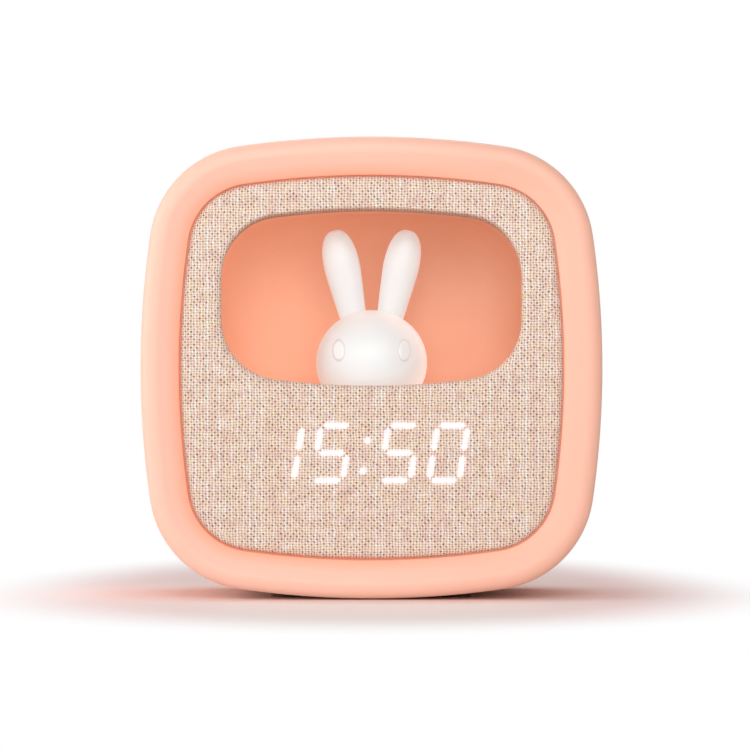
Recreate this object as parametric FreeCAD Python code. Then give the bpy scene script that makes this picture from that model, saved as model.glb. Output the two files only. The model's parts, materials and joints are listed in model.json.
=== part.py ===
# Child's alarm clock with a night light: a soft square casing with a cloth front, a window
# onto a niche where a glowing silicone rabbit sits, and a number display behind the cloth.
# Millimetres. +X is to the viewer's right, -Y is the front, +Z is up. The origin is on the
# table under the middle of the clock.
import os
import FreeCAD
import Part
from math import atan2, cos, degrees, hypot, pi, radians, sin, sqrt, tan

# Casing
case_half = 75.0  # half of its width, and of its height
case_side_r = 300.0  # bow of the four sides
case_corner_r = 34.0
case_depth = 70.5  # from the crest of the front rim to the flat of the back
wall = 2.4
front_round = 4.5
back_round = 7.0
cover_depth = 12.5  # how much of the depth belongs to the rear cover
seam_gap = 0.4
lip_height = 3.0
lip_wall = 1.6
lip_clear = 0.2
foot_clear = 0.4  # height of the casing's lowest point above the table

# Front rim and the ledge that carries the cloth panel
rim_width = 12.5
rim_drop = 3.0  # how far the rim slopes back from its crest to the panel
rim_skin = 3.2
ledge_width = 7.0
ledge_t = 3.0

# Cloth panel
panel_t = 2.4
cloth_t = 0.8
cloth_sink = 2.2  # depth of the cloth's face behind the rim's crest
panel_gap = 0.4
panel_round = 2.0
window_side = 26.2  # from the casing's side to the window's
window_top = 24.3  # from the casing's top to the window's upper edge
window_low = 5.9  # depth of the window's lower edge below the casing's middle
window_side_r = 2000.0
window_top_r = 242.0
window_corner_r = 19.7
window_round = 1.5

# Niche
niche_step = 0.8  # how far the niche's mouth stands back from the window's edge
niche_drop = 7.5  # depth of the niche's floor below the window's lower edge
niche_behind = 2.2  # from the niche's back to the loudspeaker's magnet
niche_wall = 1.8
niche_back_round = 15.0
niche_corner_r = 20.5
lug_r = 4.2
lug_t = 2.0
lug_rise = 14.0  # from the window's middle up, and down, to a pair of lugs

# Rabbit lamp
head_rx = 18.3
head_ry = 15.0
head_rz = 17.4
head_up = 1.6  # height of the head's centre above the casing's
head_skin = 2.0
ear_tip_r = 5.7
ear_root_r = 4.4
ear_headroom = 6.9  # from an ear's tip to the niche's top
ear_tilt = 10.8
ear_flat = 0.62
ear_apart = 6.4  # sideways from the middle to an ear's root
ear_root_up = 13.0  # height of an ear's root above the head's centre
ear_back = 4.0
eye_rx = 2.1
eye_ry = 0.9
eye_rz = 3.15
eye_apart = 10.7
eye_up = 4.0
eye_sunk = 0.4
neck_r = 7.0
neck_bore_r = 5.4
neck_back = 2.0  # how far the neck stands behind the head's centre
neck_behind = 1.6  # from the display board to the neck's collar
collar_r = 9.5
collar_t = 1.5
seat_r = 9.6
seat_up = 0.5
neck_clear = 0.1

# Clamp, board and light chips under the niche's floor
clamp_t = 1.5
clamp_bore_r = 6.0
clamp_post_h = 1.5
clamp_bar_half = 2.4
lamp_screw_apart = 13.5
lamp_boss_r = 3.0
lamp_board_w = 34.0
lamp_board_d = 14.0
lamp_chip = 2.8
lamp_chip_h = 1.2
lamp_chip_ring = 3.2
lamp_chips = 3

# Number display
display_right = -1.9
display_below = 27.7
display_half_w = 36.0
display_half_h = 11.6
reflector_depth = 8.0
film_t = 0.3
slot_clear = 0.3
digit_half_w = 4.9  # from the middle of a digit to its upright strokes
digit_half_h = 8.9  # from the middle of a digit to its top stroke
digit_lean = 9.0
digit_pitch = 15.9
hour_gap = 21.85  # from the second digit to the third
stroke_t = 1.7
stroke_gap = 0.5
dot_r = 0.95
dot_up = 5.1
bar_depth = 4.0
bar_clear = 0.05
chip_side = 0.8
chip_t = 0.6
display_board_margin = 5.0
display_screw_in = 2.3
display_boss_r = 2.2

# Boards and small screws
board_t = 1.6
screw_r = 1.2
screw_head_r = 2.6
screw_head_t = 1.8
screw_clear = 0.05
screw_pass = 0.3
pilot_wall = 1.6
cross_w = 0.7
cross_t = 0.8
cross_reach = 0.6  # share of a screw head's radius that its cross covers
screw_bite = 0.8  # how far a small screw goes into what it holds
panel_screw_apart = 25.0
panel_boss_r = 2.4

# Casing screws
case_screw_in = 11.5
case_post_r = 4.2
case_screw_r = 1.4
case_head_r = 2.9
case_head_t = 2.2
case_sink_r = 3.3
case_floor_t = 3.0
case_bite = 10.0

# Main board and buttons
board_behind = 8.1  # from the cover's inner face to the main board
board_half_w = 50.0
board_half_h = 14.75
board_post_r = 2.5
board_post_in = 4.0
board_pilot = 4.8
board_bite = 4.0
buttons_up = 6.6  # height of the buttons above the casing's middle
button_pitch = 16.0
button_r = 4.5
button_round = 0.8
button_clear = 0.3
cap_proud = 1.5
cap_flange_r = 5.6
cap_flange_t = 1.0
cap_stem_r = 1.6
cap_travel = 0.8
switch_w = 6.0
switch_h = 3.5
plunger_r = 1.7
plunger_well = 0.2
plunger_proud = 1.1
plunger_sunk = 0.9
plunger_spare = 0.6

# Slide switch and power socket
slider_x = -34.0
slider_down = 8.4  # depth of the slider and the socket below the casing's middle
slider_travel = 3.0
slider_proud = 1.0
slider_w = 4.0
slider_h = 3.0
slider_clear = 0.3
slider_plate_w = 13.0
slider_plate_h = 5.4
slider_plate_t = 1.0
slider_stem = 2.0
slide_body_w = 9.5
slide_body_h = 4.6
slide_body_t = 3.5
slide_bite = 1.1
slide_spare = 0.4
socket_x = 36.0
socket_w = 9.0
socket_h = 3.3
socket_skin = 0.35
socket_tongue_w = 6.7
socket_tongue_h = 0.7
socket_short = 1.0  # how far the socket's mouth lies inside the back
socket_clear = 0.35

# Chips on the main board
controller_side = 7.0
controller_t = 1.2
leg_w = 0.35
leg_reach = 0.9
leg_pitch = 0.9
legs_per_side = 7
crystal_w = 10.5
crystal_h = 4.4
crystal_t = 3.4
controller_x = 18.0
crystal_clear = 1.0  # from the night light's lead to the crystal
parts_up = 11.4  # height of the chip and the crystal above the board's lower edge

# Loudspeaker
speaker_above = 36.6  # height of the loudspeaker above the casing's middle
speaker_side = 40.0
speaker_corner = 4.0
speaker_plate_t = 1.2
speaker_boss = 1.0
speaker_cup_r = 18.0
speaker_cup_back_r = 11.0
speaker_cup_t = 1.0
speaker_cup_depth = 7.0
magnet_r = 10.5
magnet_t = 5.5
cone_r = 16.6
cone_centre_r = 5.0
cone_depth = 4.5
cone_t = 0.5
cone_edge = 0.3
speaker_screw_apart = 17.2
grille_hole_r = 1.0
grille_pitch = 4.2
grille_rings = 3

# Battery bay
bay_down = 37.4  # depth of the battery bay below the casing's middle
cell_r = 5.25
cell_length = 43.3
cell_nub_r = 1.9
cell_nub = 1.2
cell_round = 0.4
cell_pitch = 11.0
cell_gap = 0.3
cells = 3
bay_half_w = 27.5
bay_wall = 1.6
door_t = 2.0
door_rim = 1.6
door_clear = 0.3
door_round = 2.0
plate_t = 0.5
plate_w = 8.0
spring_wire = 0.4
spring_r = 2.6
spring_turns = 3
door_screw_in = 5.5
door_screw_sink = 0.9
door_hole_r = 1.5
door_bite = 1.5

# Feet
foot_x = 28.0
foot_r = 5.0
foot_behind = 2.0  # from a rear foot to the seam
foot_glue = 0.05

# Flat leads
lead_w = 12.0
lead_t = 0.3
lead_bend = 2.0
display_lead_x = -25.2

# Planes along the depth, from front to back
front_y = -(case_depth + cap_proud) / 2
back_y = front_y + case_depth
cover_inner_y = back_y - wall
seam_y = back_y - cover_depth
cloth_y = front_y + cloth_sink
panel_y = cloth_y + cloth_t
ledge_y = panel_y + panel_t
ledge_back_y = ledge_y + ledge_t
reflector_y = panel_y + film_t
display_board_y = reflector_y + reflector_depth
main_board_y = cover_inner_y - board_behind
speaker_y = cover_inner_y - speaker_boss
plate_front_y = speaker_y - speaker_plate_t
cup_front_y = plate_front_y - speaker_cup_depth
magnet_front_y = cup_front_y - magnet_t
niche_back_y = magnet_front_y - niche_behind - niche_wall
neck_y = display_board_y + board_t + neck_behind + collar_r
head_y = neck_y - neck_back
foot_y = seam_y - foot_behind - foot_r

# Heights, and the sizes that follow from them
case_z = foot_clear + case_half
window_half_w = case_half - window_side
window_half_h = (case_half - window_top + window_low) / 2
window_up = case_half - window_top - window_half_h
window_z = case_z + window_up
niche_top = window_z + window_half_h + niche_step
niche_floor = window_z - window_half_h - niche_drop
niche_z = (niche_top + niche_floor) / 2
niche_half_h = (niche_top - niche_floor) / 2
niche_half_w = window_half_w + niche_step
display_z = case_z - display_below
head_z = case_z + head_up
seat_z = niche_floor + seat_up
collar_top = niche_floor - niche_wall
ear_root_z = head_z + ear_root_up
ear_length = (niche_top - ear_headroom - ear_tip_r - ear_root_z) / cos(radians(ear_tilt))
button_z = case_z + buttons_up
slider_z = case_z - slider_down
board_low = case_z - board_half_h
parts_z = board_low + parts_up
speaker_z = case_z + speaker_above
bay_z = case_z - bay_down
crystal_x = -lead_w / 4 - crystal_clear - crystal_w / 2
eps = 0.01


def vec(x, y, z):
    return FreeCAD.Vector(x, y, z)


def outline(half_w, half_h, side_r, top_r, corner_r, inset, x, y, z):
    """Soft rectangle in the XZ plane: four bowed sides and four corners, all tangent arcs.

    A corner's centre lies side_r - corner_r from the side arc's centre and
    top_r - corner_r from the top arc's centre. An inset moves every arc inwards alike.
    """
    a = half_w - inset
    b = half_h - inset
    side = side_r - inset
    top = top_r - inset
    corner = corner_r - inset
    side_x = a - side
    top_z = b - top
    reach_side = side - corner
    reach_top = top - corner
    apart = hypot(side_x, top_z)
    along = (reach_side**2 - reach_top**2 + apart**2) / (2 * apart)
    off = sqrt(reach_side**2 - along**2)
    cx = side_x - side_x / apart * along - top_z / apart * off
    cz = top_z / apart * along - side_x / apart * off
    to_side = ((cx - side_x) / reach_side, cz / reach_side)
    to_top = (cx / reach_top, (cz - top_z) / reach_top)
    mid = hypot(to_side[0] + to_top[0], to_side[1] + to_top[1])
    p_side = (side_x + side * to_side[0], side * to_side[1])
    p_top = (top * to_top[0], top_z + top * to_top[1])
    p_mid = (
        cx + corner * (to_side[0] + to_top[0]) / mid,
        cz + corner * (to_side[1] + to_top[1]) / mid,
    )

    def arc(*points):
        return Part.Arc(*[vec(x + px, y, z + pz) for px, pz in points]).toShape()

    def turned(point, sx, sz):
        return (sx * point[0], sz * point[1])

    edges = [
        arc(turned(p_side, 1, -1), (a, 0), turned(p_side, 1, 1)),
        arc(turned(p_side, 1, 1), turned(p_mid, 1, 1), turned(p_top, 1, 1)),
        arc(turned(p_top, 1, 1), (0, b), turned(p_top, -1, 1)),
        arc(turned(p_top, -1, 1), turned(p_mid, -1, 1), turned(p_side, -1, 1)),
        arc(turned(p_side, -1, 1), (-a, 0), turned(p_side, -1, -1)),
        arc(turned(p_side, -1, -1), turned(p_mid, -1, -1), turned(p_top, -1, -1)),
        arc(turned(p_top, -1, -1), (0, -b), turned(p_top, 1, -1)),
        arc(turned(p_top, 1, -1), turned(p_mid, 1, -1), turned(p_side, 1, -1)),
    ]
    return Part.Wire(edges)


def case_outline(inset, y):
    return outline(
        case_half, case_half, case_side_r, case_side_r, case_corner_r, inset, 0, y, case_z
    )


def window_outline(inset, y):
    return outline(
        window_half_w,
        window_half_h,
        window_side_r,
        window_top_r,
        window_corner_r,
        inset,
        0,
        y,
        window_z,
    )


def niche_outline(inset, y):
    return outline(
        niche_half_w,
        niche_half_h,
        window_side_r,
        window_top_r,
        niche_corner_r,
        inset,
        0,
        y,
        niche_z,
    )


def slab(wire, y_to):
    """Block between the outline's own plane and y_to."""
    y_from = wire.Edges[0].Vertexes[0].Y
    return Part.Face(wire).extrude(vec(0, y_to - y_from, 0))


def rounded(solid, radius, y):
    """Rounds every edge of the solid that lies in the plane y."""
    edges = [e for e in solid.Edges if abs(e.CenterOfMass.y - y) < eps]
    return solid.makeFillet(radius, edges)


def box(x, y, z):
    """Box from three (low, high) pairs."""
    corner = vec(x[0], y[0], z[0])
    return Part.makeBox(x[1] - x[0], y[1] - y[0], z[1] - z[0], corner)


def span(centre, half):
    return (centre - half, centre + half)


def rod(radius, x, z, y_from, y_to):
    """Round bar along the depth."""
    low, high = sorted((y_from, y_to))
    return Part.makeCylinder(radius, high - low, vec(x, low, z), vec(0, 1, 0))


def post(radius, x, y, z_from, z_to):
    """Round bar along the height."""
    low, high = sorted((z_from, z_to))
    return Part.makeCylinder(radius, high - low, vec(x, y, low), vec(0, 0, 1))


def fuse(shapes):
    return shapes[0].fuse(shapes[1:]).removeSplitter()


def group(solids):
    """Several separate solids that share one node."""
    return Part.makeCompound(solids)


def ellipsoid(rx, ry, rz):
    stretch = FreeCAD.Matrix()
    stretch.scale(1, ry / rx, rz / rx)
    return Part.makeSphere(rx).transformGeometry(stretch)


def side_reach(inset, rise):
    """Half-width of the casing's outline at a height rise from its middle."""
    r = case_side_r - inset
    return case_half - inset - r + sqrt(r**2 - rise**2)


def corner_reach(inset):
    """Distance along X, and along Z, from the casing's middle to its corner's crown."""
    flat = case_side_r - case_half
    centre = (sqrt(2 * (case_side_r - case_corner_r) ** 2 - flat**2) - flat) / 2
    return centre + (case_corner_r - inset) / sqrt(2)


def quadrants(dx, dz):
    return [(sx * dx, sz * dz) for sx in (-1, 1) for sz in (-1, 1)]


def screw(x, z, y_head, way, length, r=screw_r, head_r=screw_head_r, head_t=screw_head_t):
    """Pan-head screw along the depth: the head's seat is at y_head, the shank goes way."""
    shank = rod(r, x, z, y_head, y_head + way * length)
    head = rod(head_r, x, z, y_head, y_head - way * head_t)
    top = y_head - way * head_t
    deep = top + way * cross_t
    ys = (min(top, deep), max(top, deep))
    long_half = head_r * cross_reach
    slots = [
        box(span(x, long_half), ys, span(z, cross_w / 2)),
        box(span(x, cross_w / 2), ys, span(z, long_half)),
    ]
    return head.fuse(shank).removeSplitter().cut(slots)


def flat_lead(x, width, points):
    """Flat cable along a path in the YZ plane, with every corner bent round."""
    pieces = []
    start = points[0]
    for before, here, after in zip(points, points[1:], points[2:]):
        back = vec(0, before[0] - here[0], before[1] - here[1]).normalize()
        ahead = vec(0, after[0] - here[0], after[1] - here[1]).normalize()
        half = back.getAngle(ahead) / 2
        cut = lead_bend / tan(half)
        corner = vec(x, *here)
        into = corner + back * cut
        out = corner + ahead * cut
        middle = (back + ahead).normalize()
        crown = corner + middle * (lead_bend / sin(half) - lead_bend)
        pieces.append(Part.LineSegment(vec(x, *start), into).toShape())
        pieces.append(Part.Arc(into, crown, out).toShape())
        start = (out.y, out.z)
    pieces.append(Part.LineSegment(vec(x, *start), vec(x, *points[-1])).toShape())
    path = Part.Wire(pieces)
    begin = vec(x, *points[0])
    run = vec(0, points[1][0] - points[0][0], points[1][1] - points[0][1]).normalize()
    side = vec(width / 2, 0, 0)
    thick = vec(0, -run.z, run.y) * (lead_t / 2)
    corners = [
        begin + side + thick,
        begin - side + thick,
        begin - side - thick,
        begin + side - thick,
        begin + side + thick,
    ]
    return path.makePipeShell([Part.makePolygon(corners)], True, False)


# Front housing
panel_screw_in = rim_width + panel_gap + cloth_t + panel_boss_r + panel_round
panel_screws_at = [
    (sx * panel_screw_apart, case_z - side_reach(panel_screw_in, panel_screw_apart))
    for sx in (-1, 1)
]
lug_in = rim_width + panel_gap + cloth_t + panel_boss_r + pilot_wall / 2
lug_heights = (window_up - lug_rise, window_up + lug_rise)
lug_screws_at = [
    (sx * side_reach(lug_in, rise), case_z + rise) for sx in (-1, 1) for rise in lug_heights
]
case_screws_at = [
    (x, case_z + z)
    for x, z in quadrants(corner_reach(case_screw_in), corner_reach(case_screw_in))
]


def front_housing():
    body = rounded(slab(case_outline(0, front_y), seam_y), front_round, front_y)
    slope = Part.makeLoft(
        [case_outline(front_round, front_y), case_outline(rim_width, front_y + rim_drop)],
        True,
        True,
    )
    mouth = slab(case_outline(rim_width, front_y + rim_drop), ledge_y)
    inside = slab(case_outline(wall, ledge_back_y), seam_y)
    opening = slab(case_outline(rim_width + ledge_width, ledge_y), ledge_back_y)
    hollow_y = front_y + rim_drop + rim_skin - wall
    under_rim = slab(case_outline(wall, hollow_y), ledge_back_y)
    under_rim = under_rim.cut(slab(case_outline(rim_width - wall, hollow_y), ledge_back_y))
    body = body.cut([slope, mouth, opening, inside, under_rim])
    pads = [rod(lug_r, x, z, ledge_y, ledge_back_y) for x, z in lug_screws_at]
    posts = [rod(case_post_r, x, z, ledge_y + pilot_wall, seam_y) for x, z in case_screws_at]
    body = body.fuse(pads + posts)
    holes = [
        rod(panel_boss_r + screw_pass, x, z, ledge_y, ledge_back_y)
        for x, z in lug_screws_at + panel_screws_at
    ]
    pilots = [
        rod(case_screw_r + screw_clear, x, z, seam_y - case_bite - pilot_wall, seam_y)
        for x, z in case_screws_at
    ]
    return body.cut(holes + pilots)


# Rear cover
grille_at = [(0.0, speaker_z)]
for ring in range(1, grille_rings + 1):
    for k in range(6 * ring):
        turn = 2 * pi * k / (6 * ring)
        grille_at.append(
            (ring * grille_pitch * cos(turn), speaker_z + ring * grille_pitch * sin(turn))
        )
button_names = ["time", "alarm", "down", "up", "sound", "light"]
button_at = [
    (-(k - (len(button_names) - 1) / 2) * button_pitch, button_z)
    for k in range(len(button_names))
]
board_posts_at = [
    (sx * (board_half_w - board_post_in), z)
    for sx in (-1, 1)
    for z in span(case_z, board_half_h - board_post_r)
]
speaker_screws_at = [
    (x, speaker_z + z) for x, z in quadrants(speaker_screw_apart, speaker_screw_apart)
]
bay_half_h = cell_pitch * (cells - 1) / 2 + cell_r + cell_gap
bay_floor_y = back_y - door_t - cell_gap - 2 * cell_r - cell_gap
cell_y = bay_floor_y + cell_gap + cell_r
cell_rows = [bay_z + (k - (cells - 1) / 2) * cell_pitch for k in range(cells)]
door_half_w = bay_half_w + door_rim
door_low = bay_z - bay_half_h - door_rim
door_high = bay_z + bay_half_h + door_rim + 2 * door_screw_in
door_screw_z = bay_z + bay_half_h + door_rim + door_screw_in
door_seat_y = back_y - door_t


def door_plate(clear, y_from, y_to):
    plate = box(
        span(0, door_half_w - clear), (y_from, y_to), (door_low + clear, door_high - clear)
    )
    corners = [e for e in plate.Edges if abs(e.Vertexes[0].Y - e.Vertexes[-1].Y) > eps]
    return plate.makeFillet(door_round - clear / 2, corners)


def rear_cover():
    body = rounded(slab(case_outline(0, seam_y + seam_gap), back_y), back_round, back_y)
    inside = slab(case_outline(wall, seam_y + seam_gap), cover_inner_y)
    body = body.cut(inside)
    lip_in = wall + lip_clear
    lip = slab(case_outline(lip_in, seam_y - lip_height), seam_y + seam_gap + lip_wall)
    lip = lip.cut(slab(case_outline(lip_in + lip_wall, seam_y - lip_height), cover_inner_y))
    root = slab(case_outline(wall - eps, seam_y + seam_gap), seam_y + seam_gap + lip_wall)
    root = root.cut(slab(case_outline(lip_in + lip_wall, seam_y), cover_inner_y))
    posts = [rod(case_post_r, x, z, seam_y, back_y - wall / 2) for x, z in case_screws_at]
    bay = box(
        span(0, bay_half_w + bay_wall),
        (bay_floor_y - bay_wall, back_y - wall / 2),
        span(bay_z, bay_half_h + bay_wall),
    )
    door_boss = rod(board_post_r + pilot_wall / 2, 0, door_screw_z, door_seat_y - case_bite / 2,
                    back_y - wall / 2)
    board_posts = [rod(board_post_r, x, z, main_board_y, cover_inner_y + wall / 2)
                   for x, z in board_posts_at]
    speaker_posts = [
        rod(board_post_r, x, z, cover_inner_y - speaker_boss, cover_inner_y + wall / 2)
        for x, z in speaker_screws_at
    ]
    body = body.fuse([lip, root, bay, door_boss] + posts + board_posts + speaker_posts)
    cuts = [door_plate(0, door_seat_y, back_y + eps)]
    cuts.append(
        box(span(0, bay_half_w), (bay_floor_y, back_y + eps), span(bay_z, bay_half_h))
    )
    cuts.append(
        rod(screw_r + screw_clear, 0, door_screw_z, door_seat_y - case_bite / 2 + pilot_wall / 2,
            back_y + eps)
    )
    cuts += [rod(grille_hole_r, x, z, cover_inner_y - eps, back_y + eps) for x, z in grille_at]
    cuts += [
        rod(button_r + button_clear, x, z, cover_inner_y - eps, back_y + eps)
        for x, z in button_at
    ]
    cuts += [
        rod(screw_r + screw_clear, x, z, main_board_y - eps, main_board_y + board_pilot)
        for x, z in board_posts_at
    ]
    cuts += [
        rod(screw_r + screw_clear, x, z, cover_inner_y - speaker_boss - eps, back_y - wall / 2)
        for x, z in speaker_screws_at
    ]
    for x, z in case_screws_at:
        cuts.append(rod(case_screw_r + screw_pass, x, z, seam_y - eps, back_y))
        cuts.append(rod(case_sink_r, x, z, seam_y + case_floor_t, back_y + eps))
    cuts.append(
        box(
            span(slider_x + slider_travel / 2,
                 (slider_w + slider_travel) / 2 + slider_clear),
            (cover_inner_y - eps, back_y + eps),
            span(slider_z, slider_h / 2 + slider_clear),
        )
    )
    socket_hole = box(
        span(socket_x, socket_w / 2 + socket_clear),
        (cover_inner_y - eps, back_y + eps),
        span(slider_z, socket_h / 2 + socket_clear),
    )
    ends = [e for e in socket_hole.Edges if abs(e.Vertexes[0].Y - e.Vertexes[-1].Y) > eps]
    cuts.append(socket_hole.makeFillet(socket_h / 2, ends))
    return body.cut(cuts)


def feet():
    """Four rubber pads under the casing, each cut to the curve that it is glued to."""
    hull = slab(case_outline(-foot_glue, front_y), back_y)
    pads = {}
    for side, sx in (("left", -1), ("right", 1)):
        for end, sy in (("front", -1), ("rear", 1)):
            pad = post(foot_r, sx * foot_x, sy * foot_y, 0, case_z / 2).cut(hull)
            pads[f"foot_{end}_{side}"] = min(pad.Solids, key=lambda s: s.CenterOfMass.z)
    return pads


# Cloth panel
def panel_block(grow):
    """The panel's outline and its window, grown outwards by a skin of cloth."""
    edge = rim_width + panel_gap + cloth_t - grow
    face_y = panel_y - grow
    block = rounded(slab(case_outline(edge, face_y), ledge_y), panel_round + grow, face_y)
    block = block.cut(slab(window_outline(grow - cloth_t, face_y), ledge_y))
    face = next(f for f in block.Faces if f.BoundBox.YMax < face_y + eps)
    lip = [w for w in face.Wires if not w.isSame(face.OuterWire)]
    return block.makeFillet(window_round + grow, lip[0].Edges)


def display_hole(clear):
    return box(
        span(display_right, display_half_w + clear),
        (panel_y, display_board_y),
        span(display_z, display_half_h + clear),
    )


display_screws_at = [
    (display_right + x, display_z + z)
    for x, z in quadrants(
        display_half_w + display_board_margin - display_screw_in,
        display_half_h - display_screw_in,
    )
]


def panel_frame():
    block = panel_block(0)
    bosses = [
        rod(panel_boss_r, x, z, ledge_y - panel_t / 2, ledge_back_y)
        for x, z in lug_screws_at + panel_screws_at
    ]
    bosses += [
        rod(display_boss_r, x, z, ledge_y - panel_t / 2, display_board_y)
        for x, z in display_screws_at
    ]
    block = block.fuse(bosses)
    pilots = [
        rod(screw_r + screw_clear, x, z, panel_y + pilot_wall, ledge_back_y + eps)
        for x, z in lug_screws_at + panel_screws_at
    ]
    pilots += [
        rod(screw_r + screw_clear, x, z, panel_y + pilot_wall, display_board_y + eps)
        for x, z in display_screws_at
    ]
    return block.cut([display_hole(slot_clear)] + pilots)


def cloth_cover():
    return panel_block(cloth_t).cut(panel_block(0))


# Niche
def niche():
    back = niche_back_y + niche_wall
    hollow = rounded(
        slab(niche_outline(0, ledge_y), niche_back_y), niche_back_round, niche_back_y
    )
    outer = rounded(
        slab(niche_outline(-niche_wall, ledge_y), back), niche_back_round + niche_wall, back
    )
    lugs = []
    for x, z in lug_screws_at:
        wing = rod(lug_r, x, z, ledge_back_y, ledge_back_y + lug_t)
        inward = x - (2 * lug_r if x > 0 else -2 * lug_r)
        arm = box(
            (min(x, inward), max(x, inward)),
            (ledge_back_y, ledge_back_y + lug_t),
            span(z, lug_r),
        )
        lugs += [wing, arm]
    seat = post(seat_r, 0, neck_y, collar_top, seat_z)
    bosses = [
        post(lamp_boss_r, sx * lamp_screw_apart, neck_y, collar_top - collar_t,
             niche_floor + niche_wall / 4)
        for sx in (-1, 1)
    ]
    shell = outer.fuse(lugs + bosses).cut(hollow).fuse(seat)
    holes = [rod(screw_r + screw_pass, x, z, ledge_y, back) for x, z in lug_screws_at]
    holes.append(post(neck_r + neck_clear, 0, neck_y, collar_top - eps, seat_z + eps))
    holes += [
        post(screw_r + screw_clear, sx * lamp_screw_apart, neck_y, collar_top - collar_t - eps,
             niche_floor - niche_wall / 4)
        for sx in (-1, 1)
    ]
    return shell.cut(holes)


# Rabbit lamp
def head_block(skin):
    head = ellipsoid(head_rx - skin, head_ry - skin, head_rz - skin)
    head.translate(vec(0, head_y, head_z))
    return head


def ear(side):
    lean = (ear_root_r - ear_tip_r) / ear_length
    out = sqrt(1 - lean**2)
    root = [(0, -ear_root_r), (ear_root_r / sqrt(2), -ear_root_r / sqrt(2))]
    root.append((ear_root_r * out, ear_root_r * lean))
    tip = [(ear_tip_r * out, ear_length + ear_tip_r * lean)]
    tip.append((ear_tip_r / sqrt(2), ear_length + ear_tip_r / sqrt(2)))
    tip.append((0, ear_length + ear_tip_r))
    edges = [
        Part.Arc(*[vec(x, 0, z) for x, z in root]).toShape(),
        Part.LineSegment(vec(root[2][0], 0, root[2][1]), vec(tip[0][0], 0, tip[0][1])).toShape(),
        Part.Arc(*[vec(x, 0, z) for x, z in tip]).toShape(),
        Part.LineSegment(vec(0, 0, tip[2][1]), vec(0, 0, root[0][1])).toShape(),
    ]
    profile = Part.Face(Part.Wire(edges))
    solid = profile.revolve(vec(0, 0, 0), vec(0, 0, 1), 360)
    flatten = FreeCAD.Matrix()
    flatten.scale(1, ear_flat, 1)
    solid = solid.transformGeometry(flatten)
    solid.rotate(vec(0, 0, 0), vec(0, 1, 0), side * ear_tilt)
    solid.translate(vec(side * ear_apart, head_y + ear_back, ear_root_z))
    return solid.cut(head_block(0))


def eye(side):
    rim = sqrt(1 - (eye_apart / head_rx) ** 2 - (eye_up / head_rz) ** 2)
    out_x = eye_apart / head_rx**2
    out_y = rim / head_ry
    bead = ellipsoid(eye_rx, eye_ry, eye_rz)
    bead.rotate(vec(0, 0, 0), vec(0, 0, 1), side * degrees(atan2(out_x, out_y)))
    size = hypot(out_x, out_y)
    bead.translate(
        vec(
            side * (eye_apart - eye_sunk * out_x / size),
            head_y - head_ry * rim + eye_sunk * out_y / size,
            head_z + eye_up,
        )
    )
    return bead


def rabbit_lamp():
    below = box(span(0, head_rx), span(head_y, head_ry), (head_z - head_rz, seat_z))
    neck = post(neck_r, 0, neck_y, collar_top, seat_z + head_skin)
    collar = post(collar_r, 0, neck_y, collar_top - collar_t, collar_top)
    body = head_block(0).cut(below).fuse([neck, collar])
    bore = post(neck_bore_r, 0, neck_y, collar_top - collar_t - eps, seat_z + 2 * head_skin)
    body = body.cut([head_block(head_skin).cut(below), bore])
    return body.fuse([eye(-1), eye(1)])


clamp_top = collar_top - collar_t
clamp_low = clamp_top - clamp_t
lamp_board_top = clamp_low - clamp_post_h
lamp_screws_at = [(-lamp_screw_apart, neck_y), (lamp_screw_apart, neck_y)]


def lamp_clamp_ring():
    ring = post(collar_r, 0, neck_y, clamp_low, clamp_top)
    posts = [post(lamp_boss_r, x, y, lamp_board_top, clamp_top) for x, y in lamp_screws_at]
    bar = box(
        span(0, lamp_screw_apart), span(neck_y, clamp_bar_half), (clamp_low, clamp_top)
    )
    holes = [
        post(screw_r + screw_pass, x, y, lamp_board_top, clamp_top) for x, y in lamp_screws_at
    ]
    holes.append(post(clamp_bore_r, 0, neck_y, lamp_board_top, clamp_top))
    return ring.fuse([bar] + posts).cut(holes).removeSplitter()


def night_light_board():
    board = box(
        span(0, lamp_board_w / 2),
        span(neck_y, lamp_board_d / 2),
        (lamp_board_top - board_t, lamp_board_top),
    )
    holes = [
        post(screw_r + screw_pass, x, y, lamp_board_top - board_t, lamp_board_top)
        for x, y in lamp_screws_at
    ]
    return board.cut(holes)


def night_light_chips():
    chips = []
    for k in range(lamp_chips):
        turn = 2 * pi * k / lamp_chips + pi / 2
        x = lamp_chip_ring * cos(turn)
        y = neck_y + lamp_chip_ring * sin(turn)
        chips.append(
            box(span(x, lamp_chip / 2), span(y, lamp_chip / 2),
                (lamp_board_top, lamp_board_top + lamp_chip_h))
        )
    return group(chips)


def upright_screw(x, y, seat, length):
    """Pan-head screw that points up, its head under the seat."""
    turned = screw(0, 0, 0, 1, length)
    turned.rotate(vec(0, 0, 0), vec(1, 0, 0), 90)
    turned.translate(vec(x, y, seat))
    return turned


# Number display
# Strokes of a digit in the usual order: top, upper right, lower right, bottom, lower left,
# upper left, middle. Each is (middle across, middle up, lies flat).
strokes = [
    (0, 1, True),
    (1, 0.5, False),
    (1, -0.5, False),
    (0, -1, True),
    (-1, -0.5, False),
    (-1, 0.5, False),
    (0, 0, True),
]
figures = {"0": "abcdef", "1": "bc", "5": "acdfg"}
shown_time = "1550"
digit_at = [
    -hour_gap / 2 - digit_pitch,
    -hour_gap / 2,
    hour_gap / 2,
    hour_gap / 2 + digit_pitch,
]
bar_y = reflector_y + bar_depth


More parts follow.
